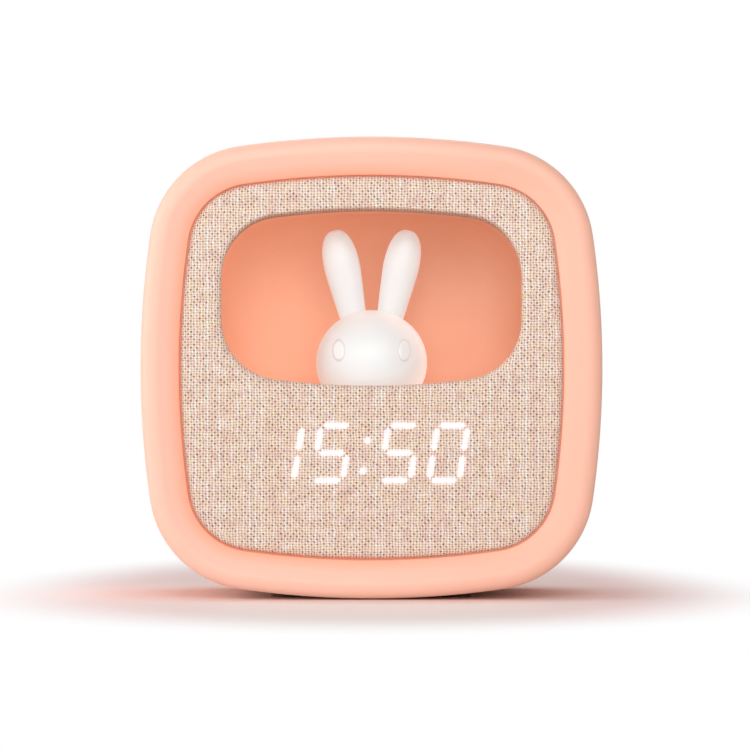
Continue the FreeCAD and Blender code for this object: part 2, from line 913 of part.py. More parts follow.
def stroke_prism(digit_x, stroke, clear, y_to):
    """One bar of a digit: a six-sided bar with pointed ends, leaning with the digit."""
    across, up, flat = stroke
    half_t = stroke_t / 2 - clear
    if flat:
        half_l = digit_half_w - stroke_gap - clear
        local = [(-half_l, 0), (-half_l + half_t, half_t), (half_l - half_t, half_t),
                 (half_l, 0), (half_l - half_t, -half_t), (-half_l + half_t, -half_t)]
    else:
        half_l = digit_half_h / 2 - stroke_gap - clear
        local = [(0, -half_l), (half_t, -half_l + half_t), (half_t, half_l - half_t),
                 (0, half_l), (-half_t, half_l - half_t), (-half_t, -half_l + half_t)]
    points = []
    for px, pz in local:
        rise = up * digit_half_h + pz
        points.append(
            vec(
                display_right + digit_x + across * digit_half_w + px
                + rise * tan(radians(digit_lean)),
                reflector_y,
                display_z + rise,
            )
        )
    face = Part.Face(Part.makePolygon(points + points[:1]))
    return face.extrude(vec(0, y_to - reflector_y, 0))


def colon_dots(clear, y_to):
    return [
        rod(dot_r - clear, display_right + rise * tan(radians(digit_lean)), display_z + rise,
            reflector_y, y_to)
        for rise in (-dot_up, dot_up)
    ]


def all_strokes(wanted, clear, y_to):
    """Bars of the digits, those that show the time or those that stay dark."""
    bars = []
    for digit_x, figure in zip(digit_at, shown_time):
        for letter, stroke in zip("abcdefg", strokes):
            if (letter in figures[figure]) in wanted:
                bars.append(stroke_prism(digit_x, stroke, clear, y_to))
    return bars


def display_reflector():
    block = box(
        span(display_right, display_half_w),
        (reflector_y, display_board_y),
        span(display_z, display_half_h),
    )
    wells = all_strokes((True, False), 0, display_board_y)
    return block.cut(wells + colon_dots(0, display_board_y))


def lit_bars():
    return group(all_strokes((True,), bar_clear, bar_y) + colon_dots(bar_clear, bar_y))


def dark_bars():
    return group(all_strokes((False,), bar_clear, bar_y))


def display_film():
    return box(
        span(display_right, display_half_w),
        (panel_y, reflector_y),
        span(display_z, display_half_h),
    )


def display_board():
    board = box(
        span(display_right, display_half_w + display_board_margin),
        (display_board_y, display_board_y + board_t),
        span(display_z, display_half_h),
    )
    holes = [
        rod(screw_r + screw_pass, x, z, display_board_y, display_board_y + board_t)
        for x, z in display_screws_at
    ]
    return board.cut(holes)


def display_chips():
    chips = []
    for digit_x in digit_at:
        for across, up, _ in strokes:
            rise = up * digit_half_h
            x = display_right + digit_x + across * digit_half_w
            x += rise * tan(radians(digit_lean))
            chips.append((x, display_z + rise))
    for rise in (-dot_up, dot_up):
        chips.append((display_right + rise * tan(radians(digit_lean)), display_z + rise))
    low = display_board_y - chip_t
    return group([
        box(span(x, chip_side / 2), (low, display_board_y), span(z, chip_side / 2))
        for x, z in chips
    ])


# Main board and what it carries
def main_board():
    board = box(
        span(0, board_half_w), (main_board_y - board_t, main_board_y), span(case_z, board_half_h)
    )
    holes = [
        rod(screw_r + screw_pass, x, z, main_board_y - board_t, main_board_y)
        for x, z in board_posts_at
    ]
    return board.cut(holes)


def controller_chip():
    top = main_board_y - board_t
    half = controller_side / 2
    body = box(span(controller_x, half), (top - controller_t, top), span(parts_z, half))
    legs = []
    for k in range(legs_per_side):
        along = (k - (legs_per_side - 1) / 2) * leg_pitch
        foot = (top - leg_w, top)
        for way in (-1, 1):
            ends = sorted((way * half, way * (half + leg_reach)))
            reach = (controller_x + ends[0], controller_x + ends[1])
            rise = (parts_z + ends[0], parts_z + ends[1])
            legs.append(box(reach, foot, span(parts_z + along, leg_w / 2)))
            legs.append(box(span(controller_x + along, leg_w / 2), foot, rise))
    return body.fuse(legs)


def quartz_crystal():
    top = main_board_y - board_t
    can = box(
        span(crystal_x, crystal_w / 2), (top - crystal_t, top), span(parts_z, crystal_h / 2)
    )
    ends = [e for e in can.Edges if abs(e.Vertexes[0].Y - e.Vertexes[-1].Y) > eps]
    return can.makeFillet(crystal_h / 2 - eps, ends)


def button_switches():
    tip = main_board_y + switch_h - plunger_sunk - cap_travel - plunger_spare
    bodies = []
    for x, z in button_at:
        body = box(
            span(x, switch_w / 2), (main_board_y, main_board_y + switch_h), span(z, switch_w / 2)
        )
        bodies.append(body.cut(rod(plunger_r + plunger_well, x, z, tip,
                                   main_board_y + switch_h)))
    return group(bodies)


plunger_back_y = main_board_y + switch_h + plunger_proud


def button_cap(x, z):
    head = rod(button_r, x, z, cover_inner_y - cap_flange_t, back_y + cap_proud)
    head = rounded(head, button_round, back_y + cap_proud)
    flange = rod(cap_flange_r, x, z, cover_inner_y - cap_flange_t, cover_inner_y)
    stem = rod(cap_stem_r, x, z, plunger_back_y, cover_inner_y - cap_flange_t)
    return fuse([head, flange, stem])


def button_plunger(x, z):
    return rod(plunger_r, x, z, main_board_y + switch_h - plunger_sunk, plunger_back_y)


def slide_switch():
    body = box(
        span(slider_x + slider_travel / 2, slide_body_w / 2),
        (main_board_y, main_board_y + slide_body_t),
        span(slider_z, slide_body_h / 2),
    )
    track = box(
        span(slider_x + slider_travel / 2, (slider_stem + slider_travel) / 2 + slider_clear),
        (main_board_y + slide_body_t - slide_bite - slide_spare, main_board_y + slide_body_t),
        span(slider_z, slider_stem / 2 + slider_clear),
    )
    return body.cut(track)


def alarm_slider():
    plate_back = cover_inner_y - slider_clear / 2
    stub = box(
        span(slider_x, slider_w / 2),
        (plate_back - slider_plate_t, back_y + slider_proud),
        span(slider_z, slider_h / 2),
    )
    plate = box(
        span(slider_x, slider_plate_w / 2),
        (plate_back - slider_plate_t, plate_back),
        span(slider_z, slider_plate_h / 2),
    )
    stem = box(
        span(slider_x, slider_stem / 2),
        (main_board_y + slide_body_t - slide_bite, plate_back - slider_plate_t),
        span(slider_z, slider_stem / 2),
    )
    return fuse([stub, plate, stem])


def power_socket():
    def sleeve(inset, y_from):
        block = box(
            span(socket_x, socket_w / 2 - inset),
            (y_from, back_y - socket_short),
            span(slider_z, socket_h / 2 - inset),
        )
        ends = [e for e in block.Edges if abs(e.Vertexes[0].Y - e.Vertexes[-1].Y) > eps]
        return block.makeFillet(socket_h / 2 - inset - eps, ends)

    shell = sleeve(0, main_board_y).cut(sleeve(socket_skin, main_board_y + board_t))
    tongue = box(
        span(socket_x, socket_tongue_w / 2),
        (main_board_y + board_t / 2, back_y - 2 * socket_short),
        span(slider_z, socket_tongue_h / 2),
    )
    return shell.fuse(tongue)


# Loudspeaker
def frustum(r_back, r_front, y_back, y_front):
    """Cone frustum that narrows towards the front."""
    return Part.makeCone(r_back, r_front, y_back - y_front, vec(0, y_back, speaker_z),
                         vec(0, -1, 0))


def speaker_basket():
    plate = box(
        span(0, speaker_side / 2), (plate_front_y, speaker_y), span(speaker_z, speaker_side / 2)
    )
    corners = [e for e in plate.Edges if abs(e.Vertexes[0].Y - e.Vertexes[-1].Y) > eps]
    plate = plate.makeFillet(speaker_corner, corners)
    cup = frustum(speaker_cup_r, speaker_cup_back_r, plate_front_y, cup_front_y)
    inner = frustum(
        speaker_cup_r - speaker_cup_t,
        speaker_cup_back_r - speaker_cup_t,
        speaker_y,
        cup_front_y + speaker_cup_t,
    )
    holes = [
        rod(screw_r + screw_pass, x, z, plate_front_y, speaker_y) for x, z in speaker_screws_at
    ]
    return plate.fuse(cup).cut([inner] + holes)


def speaker_magnet():
    magnet = rod(magnet_r, 0, speaker_z, magnet_front_y, cup_front_y)
    return rounded(magnet, cell_round, magnet_front_y)


def speaker_cone():
    edge_y = speaker_y - cone_edge
    shell = frustum(cone_r, cone_centre_r, edge_y, edge_y - cone_depth)
    hollow = frustum(cone_r - cone_t, cone_centre_r - cone_t, edge_y, edge_y - cone_depth + cone_t)
    return shell.cut(hollow)


# Battery bay
def battery(k):
    """A small round cell; every second one lies the other way round."""
    way = 1 if k % 2 == 0 else -1
    z = cell_rows[k]
    start = way * (bay_half_w - plate_t - cell_nub)
    can = Part.makeCylinder(cell_r, cell_length, vec(start, cell_y, z), vec(-way, 0, 0))
    can = can.makeFillet(cell_round, can.Edges[0:1] + can.Edges[2:3])
    nub = Part.makeCylinder(cell_nub_r, cell_nub, vec(start, cell_y, z), vec(way, 0, 0))
    return can.fuse(nub)


def contact_plates():
    plates = []
    for k, z in enumerate(cell_rows):
        way = 1 if k % 2 == 0 else -1
        for side in (-way, way):
            low, high = sorted((side * bay_half_w, side * (bay_half_w - plate_t)))
            plates.append(box((low, high), span(cell_y, plate_w / 2), span(z, plate_w / 2)))
    return group(plates)


def contact_springs():
    springs = []
    total = cell_length + cell_nub
    room = 2 * bay_half_w - 2 * plate_t - total
    for k, z in enumerate(cell_rows):
        way = 1 if k % 2 == 0 else -1
        height = room - 2 * spring_wire
        coil = Part.makeHelix(height / spring_turns, height, spring_r)
        ring = Part.Wire(Part.makeCircle(spring_wire, vec(spring_r, 0, 0), vec(0, 1, 0)))
        wire = Part.Wire(coil).makePipeShell([ring], True, True)
        wire.rotate(vec(0, 0, 0), vec(0, 1, 0), 90)
        start = bay_half_w - plate_t - room + spring_wire
        wire.translate(vec(start, cell_y, z))
        if way > 0:
            wire.rotate(vec(0, cell_y, z), vec(0, 0, 1), 180)
        springs.append(wire)
    return group(springs)


def battery_door():
    plate = door_plate(door_clear, door_seat_y, back_y)
    plate = plate.cut(rod(door_hole_r, 0, door_screw_z, door_seat_y, back_y))
    sink = rod(screw_head_r + screw_pass, 0, door_screw_z, back_y - door_screw_sink, back_y)
    return plate.cut(sink)


def door_screw():
    seat = back_y - door_screw_sink
    return screw(0, door_screw_z, seat, -1, door_t + door_bite, head_t=door_screw_sink)


# Fasteners
def fasteners():
    panel = [
        screw(x, z, ledge_back_y, -1, ledge_t + screw_bite) for x, z in panel_screws_at
    ]
    lugs = [
        screw(x, z, ledge_back_y + lug_t, -1, lug_t + ledge_t)
        for x, z in lug_screws_at
    ]
    display = [
        screw(x, z, display_board_y + board_t, -1, board_t + ledge_t)
        for x, z in display_screws_at
    ]
    board = [
        screw(x, z, main_board_y - board_t, 1, board_t + board_bite)
        for x, z in board_posts_at
    ]
    speaker = [
        screw(x, z, plate_front_y, 1, speaker_plate_t + speaker_boss + screw_bite)
        for x, z in speaker_screws_at
    ]
    casing = [
        screw(x, z, seam_y + case_floor_t, -1, case_floor_t + case_bite, case_screw_r,
              case_head_r, case_head_t)
        for x, z in case_screws_at
    ]
    lamp = [
        upright_screw(x, y, lamp_board_top - board_t,
                      board_t + clamp_t + clamp_post_h + screw_bite)
        for x, y in lamp_screws_at
    ]
    return {
        "panel_screws": group(panel),
        "niche_screws": group(lugs),
        "display_screws": group(display),
        "board_screws": group(board),
        "speaker_screws": group(speaker),
        "casing_screws": group(casing),
        "lamp_screws": group(lamp),
    }


# Flat leads between the boards
def leads():
    lane_y = (niche_back_y + niche_wall + bay_floor_y - bay_wall) / 2
    front_face = main_board_y - board_t
    display_back = display_board_y + board_t
    display_lead = flat_lead(
        display_lead_x,
        lead_w,
        [
            (display_back, display_z),
            (lane_y, display_z),
            (lane_y, board_low + lead_bend),
            (front_face, board_low + lead_bend),
        ],
    )
    lamp_z = lamp_board_top - board_t / 2
    lamp_lead = flat_lead(
        0,
        lead_w / 2,
        [
            (neck_y + lamp_board_d / 2, lamp_z),
            (lane_y, lamp_z),
            (lane_y, board_low + 2 * lead_bend),
            (front_face, board_low + 2 * lead_bend),
        ],
    )
    return {"display_lead": display_lead, "lamp_lead": lamp_lead}


parts = {
    "front_housing": front_housing(),
    "rear_cover": rear_cover(),
    "panel_frame": panel_frame(),
    "cloth_cover": cloth_cover(),
    "niche": niche(),
    "rabbit_lamp": rabbit_lamp(),
    "rabbit_ear_left": ear(-1),
    "rabbit_ear_right": ear(1),
    "lamp_clamp_ring": lamp_clamp_ring(),
    "night_light_board": night_light_board(),
    "night_light_chips": night_light_chips(),
    "display_reflector": display_reflector(),
    "display_film": display_film(),
    "display_bars_lit": lit_bars(),
    "display_bars_dark": dark_bars(),
    "display_board": display_board(),
    "display_chips": display_chips(),
    "main_board": main_board(),
    "controller_chip": controller_chip(),
    "quartz_crystal": quartz_crystal(),
    "button_switches": button_switches(),
    "slide_switch": slide_switch(),
    "alarm_slider": alarm_slider(),
    "power_socket": power_socket(),
    "speaker_basket": speaker_basket(),
    "speaker_magnet": speaker_magnet(),
    "speaker_cone": speaker_cone(),
    "contact_plates": contact_plates(),
    "contact_springs": contact_springs(),
    "battery_door": battery_door(),
    "door_screw": door_screw(),
}
for name, (x, z) in zip(button_names, button_at):
    parts[f"{name}_button"] = button_cap(x, z)
    parts[f"{name}_plunger"] = button_plunger(x, z)
for k in range(cells):
    parts[f"battery_{k + 1}"] = battery(k)
parts.update(feet())
parts.update(fasteners())
parts.update(leads())

os.makedirs("parts", exist_ok=True)
for name, shape in parts.items():
    shape.exportStep(f"parts/{name}.step")
    print(name, len(shape.Solids), shape.isValid(), round(shape.Volume, 1))
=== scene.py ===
# %% [markdown]
# A child's alarm clock with a night light, dressed for a photograph. The clock's pieces come
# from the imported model, at their real size and place. This file adds what the eye sees first:
# the soft peach shell, the woven front with its glowing digits, the bowl behind the window and
# the silicone rabbit. Everything is in metres, with -Y to the front and +Z up.

# %% Load the frame
import json

import bmesh
import bpy
import numpy as np
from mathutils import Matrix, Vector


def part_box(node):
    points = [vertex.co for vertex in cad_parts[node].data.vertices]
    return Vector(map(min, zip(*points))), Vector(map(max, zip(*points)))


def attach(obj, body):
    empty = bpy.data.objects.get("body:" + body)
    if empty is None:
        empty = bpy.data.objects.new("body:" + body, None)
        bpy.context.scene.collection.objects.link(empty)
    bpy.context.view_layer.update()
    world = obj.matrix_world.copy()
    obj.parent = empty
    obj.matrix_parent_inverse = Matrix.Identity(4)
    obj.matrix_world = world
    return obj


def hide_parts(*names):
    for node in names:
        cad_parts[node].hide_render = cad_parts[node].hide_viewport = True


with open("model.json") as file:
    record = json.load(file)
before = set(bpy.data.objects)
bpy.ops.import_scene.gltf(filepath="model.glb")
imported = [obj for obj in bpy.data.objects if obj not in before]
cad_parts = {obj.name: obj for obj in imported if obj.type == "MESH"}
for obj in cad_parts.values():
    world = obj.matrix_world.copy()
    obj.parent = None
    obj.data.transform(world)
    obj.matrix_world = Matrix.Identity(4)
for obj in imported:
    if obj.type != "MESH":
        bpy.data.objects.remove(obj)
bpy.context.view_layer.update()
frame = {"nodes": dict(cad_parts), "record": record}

MM = 0.001
nodes = frame["nodes"]

# %% [markdown]
# The sizes below are those that the model was built with. Everything else could be typed too,
# but then a change of the model would leave it behind, so it is read from the frame: the box of
# a node says where its front, its back and its middle are.

# %% Sizes
CASE_HALF = 75 * MM
CASE_SIDE_R = 300 * MM
CASE_CORNER_R = 34 * MM
RIM_WIDTH = 12.5 * MM
RIM_DROP = 3.0 * MM
PANEL_GAP = 0.4 * MM
WINDOW_HALF_W = 48.8 * MM
WINDOW_HALF_H = 28.3 * MM
WINDOW_SIDE_R = 2000 * MM
WINDOW_TOP_R = 242 * MM
WINDOW_CORNER_R = 19.7 * MM
WINDOW_UP = 22.4 * MM
WALL = 2.4 * MM

case_low, case_high = (np.array(p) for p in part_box("front_housing"))
cloth_low, cloth_high = (np.array(p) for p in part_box("cloth_cover"))
niche_low = np.array(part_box("niche")[0])
FRONT_Y = case_low[1]
SEAM_Y = case_high[1]
CASE_Z = (case_low[2] + case_high[2]) / 2
CLOTH_Y = cloth_low[1]
LEDGE_Y = cloth_high[1]
WINDOW_Z = CASE_Z + WINDOW_UP
print("front at", FRONT_Y, "seam at", SEAM_Y, "middle height", CASE_Z)

# %% [markdown]
# Every outline on this clock is the same kind of soft rectangle: four long arcs for the sides
# and four short arcs for the corners, each tangent to the next. Where two arcs meet, their
# centres and the meeting point lie on one line, which gives the corner's centre. Arcs have a
# second gift: moving each point along its own normal gives the exact parallel outline, so the
# rim, the cloth and the wall inside can all be carried round one line.

# %% The soft rectangle
def soft_rectangle(half_w, half_h, side_r, top_r, corner_r, per_side=36, per_corner=30):
    """Points and outward normals of the outline, in the XZ plane round the origin.

    The corner's centre is side_r - corner_r from the side arc's centre, which is at
    (half_w - side_r, 0), and top_r - corner_r from the top arc's, at (0, half_h - top_r).
    A point is centre + radius * (cos a, sin a), and its normal is (cos a, sin a).
    """
    side_x, top_z = half_w - side_r, half_h - top_r
    reach_side, reach_top = side_r - corner_r, top_r - corner_r
    apart = np.hypot(side_x, top_z)
    along = (reach_side**2 - reach_top**2 + apart**2) / (2 * apart)
    off = np.sqrt(reach_side**2 - along**2)
    cx = side_x - side_x / apart * along - top_z / apart * off
    cz = top_z / apart * along - side_x / apart * off
    low, high = np.arctan2(cz, cx - side_x), np.arctan2(cz - top_z, cx)
    arcs = [
        (side_x, 0, side_r, -low, low, per_side),
        (cx, cz, corner_r, low, high, per_corner),
        (0, top_z, top_r, high, np.pi - high, per_side),
        (-cx, cz, corner_r, np.pi - high, np.pi - low, per_corner),
        (-side_x, 0, side_r, np.pi - low, np.pi + low, per_side),
        (-cx, -cz, corner_r, np.pi + low, np.pi + high, per_corner),
        (0, -top_z, top_r, np.pi + high, 2 * np.pi - high, per_side),
        (cx, -cz, corner_r, 2 * np.pi - high, 2 * np.pi - low, per_corner),
    ]
    points, normals = [], []
    for x, z, radius, start, stop, count in arcs:
        turn = np.linspace(start, stop, count, endpoint=False)
        normal = np.stack([np.cos(turn), np.sin(turn)], axis=1)
        points.append(np.array([x, z]) + radius * normal)
        normals.append(normal)
    return np.concatenate(points), np.concatenate(normals)


CASE_LINE = soft_rectangle(CASE_HALF, CASE_HALF, CASE_SIDE_R, CASE_SIDE_R, CASE_CORNER_R)
WINDOW_LINE = soft_rectangle(
    WINDOW_HALF_W, WINDOW_HALF_H, WINDOW_SIDE_R, WINDOW_TOP_R, WINDOW_CORNER_R
)
print("outline points:", len(CASE_LINE[0]))

# %% [markdown]
# A shell is a profile carried round such an outline. The profile is a short list of corners in
# (inset, depth), and real mouldings never have a sharp one, so each corner is given a radius
# and becomes a small arc. A Bevel modifier could round them too, but it gives each edge the same
# few steps. The same two calls carry the rim's section and lay the rows of the cloth.

# %% Profiles and shells
def rounded_profile(corners, steps=8):
    """Closed line of (inset, depth) whose corners, given as (inset, depth, radius), are arcs.

    At a corner with turn t the arc starts radius * tan(t / 2) before it and ends as far after.
    Between the two, the direction from the arc's centre turns evenly.
    """
    pts = np.array([c[:2] for c in corners], dtype=float)
    out = []
    for k, (_, _, radius) in enumerate(corners):
        here = pts[k]
        back, ahead = pts[k - 1] - here, pts[(k + 1) % len(pts)] - here
        back, ahead = back / np.linalg.norm(back), ahead / np.linalg.norm(ahead)
        half = np.arccos(np.clip(back @ ahead, -1, 1)) / 2
        bisector = (back + ahead) / np.linalg.norm(back + ahead)
        centre = here + bisector * radius / np.sin(half)
        start = here + back * radius / np.tan(half) - centre
        stop = here + ahead * radius / np.tan(half) - centre
        blend = np.linspace(0, 1, steps + 1)[:, None]
        spread = np.arccos(np.clip(start @ stop / radius**2, -1, 1))
        arc = np.sin((1 - blend) * spread) * start + np.sin(blend * spread) * stop
        out.append(centre + arc / np.sin(spread))
    return np.concatenate(out)


def carried(line, profile, z):
    """Grid of points: outline point - inset * normal, at the profile's depth, raised by z."""
    points, normals = line
    inset, depth = profile[:, 0, None], profile[:, 1, None]
    x = points[None, :, 0] - inset * normals[None, :, 0]
    height = points[None, :, 1] - inset * normals[None, :, 1] + z
    return np.stack([x, np.broadcast_to(depth, x.shape), height], axis=2)


def surface(name, grid, close_rows=False, body="casing", inset=None, laid=None):
    """Mesh of one grid of points, whose columns run round and close on themselves.

    Each row's inset, and each point's place when the sheet is laid flat, are kept as point
    attributes where they are given.
    """
    rows, cols = grid.shape[:2]
    index = np.arange(rows * cols).reshape(rows, cols)
    if close_rows:
        index = np.concatenate([index, index[:1]])
    index = np.concatenate([index, index[:, :1]], axis=1)
    quads = np.stack(
        [index[:-1, :-1], index[:-1, 1:], index[1:, 1:], index[1:, :-1]], axis=2
    ).reshape(-1, 4)
    mesh = bpy.data.meshes.new(name)
    mesh.from_pydata(grid.reshape(-1, 3), [], quads.tolist())
    piece = bpy.data.objects.new(name, mesh)
    bpy.context.collection.objects.link(piece)
    if inset is not None:
        value = np.repeat(inset, cols).astype(np.float32)
        mesh.attributes.new("inset", "FLOAT", "POINT").data.foreach_set("value", value)
    if laid is not None:
        place = laid.astype(np.float32).ravel()
        mesh.attributes.new("laid", "FLOAT_VECTOR", "POINT").data.foreach_set("vector", place)
    tidy_mesh(mesh)
    if body:
        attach(piece, body)
    print(name, len(mesh.polygons), "faces")
    return piece


def tidy_mesh(mesh):
    """Merges doubled points, closes poles, turns every normal outwards and shades it smooth."""
    work = bmesh.new()
    work.from_mesh(mesh)
    bmesh.ops.remove_doubles(work, verts=work.verts, dist=1e-6)
    bmesh.ops.dissolve_degenerate(work, edges=work.edges, dist=1e-7)
    bmesh.ops.recalc_face_normals(work, faces=work.faces)
    if work.calc_volume(signed=True) < 0:
        bmesh.ops.reverse_faces(work, faces=work.faces)
    work.to_mesh(mesh)
    work.free()
    mesh.polygons.foreach_set("use_smooth", np.ones(len(mesh.polygons), dtype=bool))
    mesh.update()


# %% [markdown]
# A finish is a small network of shader nodes. It could be drawn by hand in the node editor, but
# a script repeats it exactly. A few short helpers keep the networks readable: they add a node,
# do arithmetic on numbers or vectors, grade a number, and lay one colour over another.

# %% Helpers for finishes
def node(tree, kind, inputs=None, **settings):
    """Adds a shader node. An input that is a socket is linked, anything else is a value."""
    made = tree.nodes.new(kind)
    for key, value in settings.items():
        setattr(made, key, value)
    for key, value in (inputs or {}).items():
        if isinstance(value, bpy.types.NodeSocket):
            tree.links.new(value, made.inputs[key])
        else:
            made.inputs[key].default_value = value
    return made


def math(tree, operation, *values):
    """One arithmetic step on numbers or sockets."""
    return node(tree, "ShaderNodeMath", dict(enumerate(values)), operation=operation).outputs[0]


def vector_math(tree, operation, *values):
    """One step on vectors. The three named below give a number, the others a vector."""
    made = node(tree, "ShaderNodeVectorMath", dict(enumerate(values)), operation=operation)
    number = operation in ("LENGTH", "DISTANCE", "DOT_PRODUCT")
    return made.outputs["Value" if number else "Vector"]


def mixed(tree, factor, a, b):
    """Mix of two colours: a where the factor is 0, b where it is 1."""
    made = node(tree, "ShaderNodeMix", data_type="RGBA")
    for socket, value in zip((made.inputs[0], made.inputs[6], made.inputs[7]), (factor, a, b)):
        if isinstance(value, bpy.types.NodeSocket):
            tree.links.new(value, socket)
        else:
            socket.default_value = value
    return made.outputs[2]


def graded(tree, value, start, stop, low=0.0, high=1.0, smooth=True):
    """Runs from low where the value is start to high where it is stop, and is level beyond."""
    kind = "SMOOTHSTEP" if smooth else "LINEAR"
    return node(tree, "ShaderNodeMapRange", {0: value, 1: start, 2: stop, 3: low, 4: high},
                interpolation_type=kind).outputs[0]


def object_place(tree):
    """X, Y and Z of the point that is shaded, in the piece's own coordinates."""
    place = tree.nodes.new("ShaderNodeTexCoord").outputs["Object"]
    return node(tree, "ShaderNodeSeparateXYZ", {0: place}).outputs


def tree_and_skin(finish):
    """A finish's tree and its main shader."""
    return finish.node_tree, finish.node_tree.nodes["Principled BSDF"]


def tint_over(finish, share, colour):
    """Lays a colour over a finish's base colour by a share from 0 to 1."""
    tree, skin = tree_and_skin(finish)
    plain = skin.inputs["Base Color"].links[0].from_socket
    tree.links.new(mixed(tree, share, plain, colour), skin.inputs["Base Color"])


# %% [markdown]
# Colours are written as a screen shows them, from 0 to 255, because that is how a photograph is
# read, and then turned into scene-linear ones. The usual moulded skin could be a picture laid
# over the piece, but noise works on any shape: one slow noise moves its colour and sheen, and
# one fine noise is its grain, as bump.

# %% Colours and moulded skin
def linear(red, green, blue):
    """Scene-linear colour of a screen colour whose channels run from 0 to 255."""
    c = np.array([red, green, blue]) / 255
    value = np.where(c <= 0.04045, c / 12.92, ((c + 0.055) / 1.055) ** 2.4)
    return (*value.tolist(), 1.0)


def new_finish(name):
    """An empty material: its tree, its main shader and the Object coordinates."""
    made = bpy.data.materials.new(name)
    made.use_nodes = True
    tree = made.node_tree
    tree.nodes.clear()
    shader = tree.nodes.new("ShaderNodeBsdfPrincipled")
    out = tree.nodes.new("ShaderNodeOutputMaterial")
    tree.links.new(shader.outputs[0], out.inputs[0])
    place = tree.nodes.new("ShaderNodeTexCoord").outputs["Object"]
    return made, tree, shader, place


ROUGH_DRIFT = 0.08
GRAIN_DEPTH = 0.2 * MM


def moulded(name, colour, drift=0.05, rough=0.5, grain=1600, bump=0.05, metallic=0.0):
    """Moulded or machined skin: slow drift of colour and sheen, and a fine grain as bump.

    The colour runs down to 1 - 2 drift of itself, and the roughness by ROUGH_DRIFT each way.
    """
    made, tree, shader, place = new_finish(name)
    slow = node(tree, "ShaderNodeTexNoise", {"Vector": place, "Scale": 38.0, "Detail": 3.0})
    fine = node(tree, "ShaderNodeTexNoise", {"Vector": place, "Scale": grain, "Detail": 2.0})
    dark = tuple(c * (1 - 2 * drift) for c in colour[:3]) + (1.0,)
    tint = mixed(tree, slow.outputs["Fac"], dark, colour)
    tree.links.new(tint, shader.inputs["Base Color"])
    level = math(tree, "MULTIPLY_ADD", slow.outputs["Fac"], 2 * ROUGH_DRIFT, rough - ROUGH_DRIFT)
    tree.links.new(level, shader.inputs["Roughness"])
    raised = node(tree, "ShaderNodeBump",
                  {"Height": fine.outputs["Fac"], "Strength": bump, "Distance": GRAIN_DEPTH})
    tree.links.new(raised.outputs[0], shader.inputs["Normal"])
    shader.inputs["Metallic"].default_value = metallic
    return made


print("example of a finish's colour:", linear(248, 191, 168))

# %% [markdown]
# The casing is a soft-touch moulding in peach: almost no gloss, a very fine texture from the
# mould, and a little light that travels under the skin, which keeps its shadows warm. The
# bowl behind the window is the same plastic, a shade deeper and smoother.

# %% Peach mouldings
PEACH = moulded("soft_peach_moulding", linear(248, 191, 168), drift=0.012, rough=0.52,
                grain=2600, bump=0.04)
BOWL = moulded("smooth_peach_bowl", linear(224, 171, 143), drift=0.01, rough=0.6, grain=2600,
               bump=0.02)
RIM = moulded("soft_peach_rim", linear(248, 193, 172), drift=0.012, rough=0.52, grain=2600,
              bump=0.04)
for finish in (PEACH, BOWL, RIM):
    skin = tree_and_skin(finish)[1]
    skin.inputs["Subsurface Weight"].default_value = 0.12
    skin.inputs["Subsurface Radius"].default_value = (1.0, 0.45, 0.3)
    skin.inputs["Subsurface Scale"].default_value = 1.5 * MM
print("peach finishes:", PEACH.name, BOWL.name, RIM.name)

# %% [markdown]
# The rim is painted redder towards the cloth, with painted light, and painted a little deeper to
# the right as shade, and the bowl has painted light, brightest low on the left. Light that
# wanders through thin walls and from wall to wall could be left to long renders.

# %% Painted warm light and shade in the peach
RIM_EDGE_Y = FRONT_Y + RIM_DROP + 0.2 * MM
EDGE_LIGHT = 0.7
GLOW_LINE = (-0.75, 0, -0.66)
GLOW_HALF = 32 * MM


def painted_warm_light(finish, colour, start, stop, strength):
    """Paints warm light into a finish where the inset attribute runs from start to stop.

    The wall of the rim is thin towards the cloth, and light that passes through it would come out
    redder; this is painted: the base colour turns to a deeper one, with painted light of its own.
    Behind RIM_EDGE_Y, where the rim drops to the cloth, that light is 1 + EDGE_LIGHT times as
    strong.
    """
    tree, skin = tree_and_skin(finish)
    inset = node(tree, "ShaderNodeAttribute", attribute_name="inset").outputs["Fac"]
    share = graded(tree, inset, start, stop)
    tint_over(finish, share, colour)
    behind = math(tree, "GREATER_THAN", object_place(tree)["Y"], RIM_EDGE_Y)
    light = math(tree, "MULTIPLY_ADD", behind, EDGE_LIGHT * strength, strength)
    skin.inputs["Emission Color"].default_value = colour
    tree.links.new(math(tree, "MULTIPLY", share, light), skin.inputs["Emission Strength"])


def painted_shade_right(finish, colour, start, stop):
    """Paints shade: the base colour turns to a deeper one where X runs from start to stop, to the
    right.
    """
    tree = finish.node_tree
    tint_over(finish, graded(tree, object_place(tree)["X"], start, stop), colour)


def painted_bowl_glow(finish, colour, least, most):
    """Painted light in the bowl, from least, up on the right, to most, low on the left.

    It follows the line GLOW_LINE through the window's middle, GLOW_HALF each way.
    """
    tree, skin = tree_and_skin(finish)
    place = tree.nodes.new("ShaderNodeTexCoord").outputs["Object"]
    away = vector_math(tree, "SUBTRACT", place, (0, 0, WINDOW_Z))
    along = vector_math(tree, "DOT_PRODUCT", away, GLOW_LINE)
    strength = graded(tree, along, -GLOW_HALF, GLOW_HALF, least, most, smooth=False)
    skin.inputs["Emission Color"].default_value = colour
    tree.links.new(strength, skin.inputs["Emission Strength"])


# Painted light: the bowl glows, most low on the left.
painted_bowl_glow(BOWL, linear(255, 172, 136), 0.09, 0.24)
# Painted light: the rim turns redder towards the cloth and glows a little there.
painted_warm_light(RIM, linear(246, 164, 134), 7.5 * MM, 13.2 * MM, 0.1)
# Painted shade: the rim turns deeper towards the right.
painted_shade_right(RIM, linear(242, 183, 160), -10 * MM, 72 * MM)
print("light in the bowl over", 2 * GLOW_HALF, "m, in the rim behind", RIM_EDGE_Y)

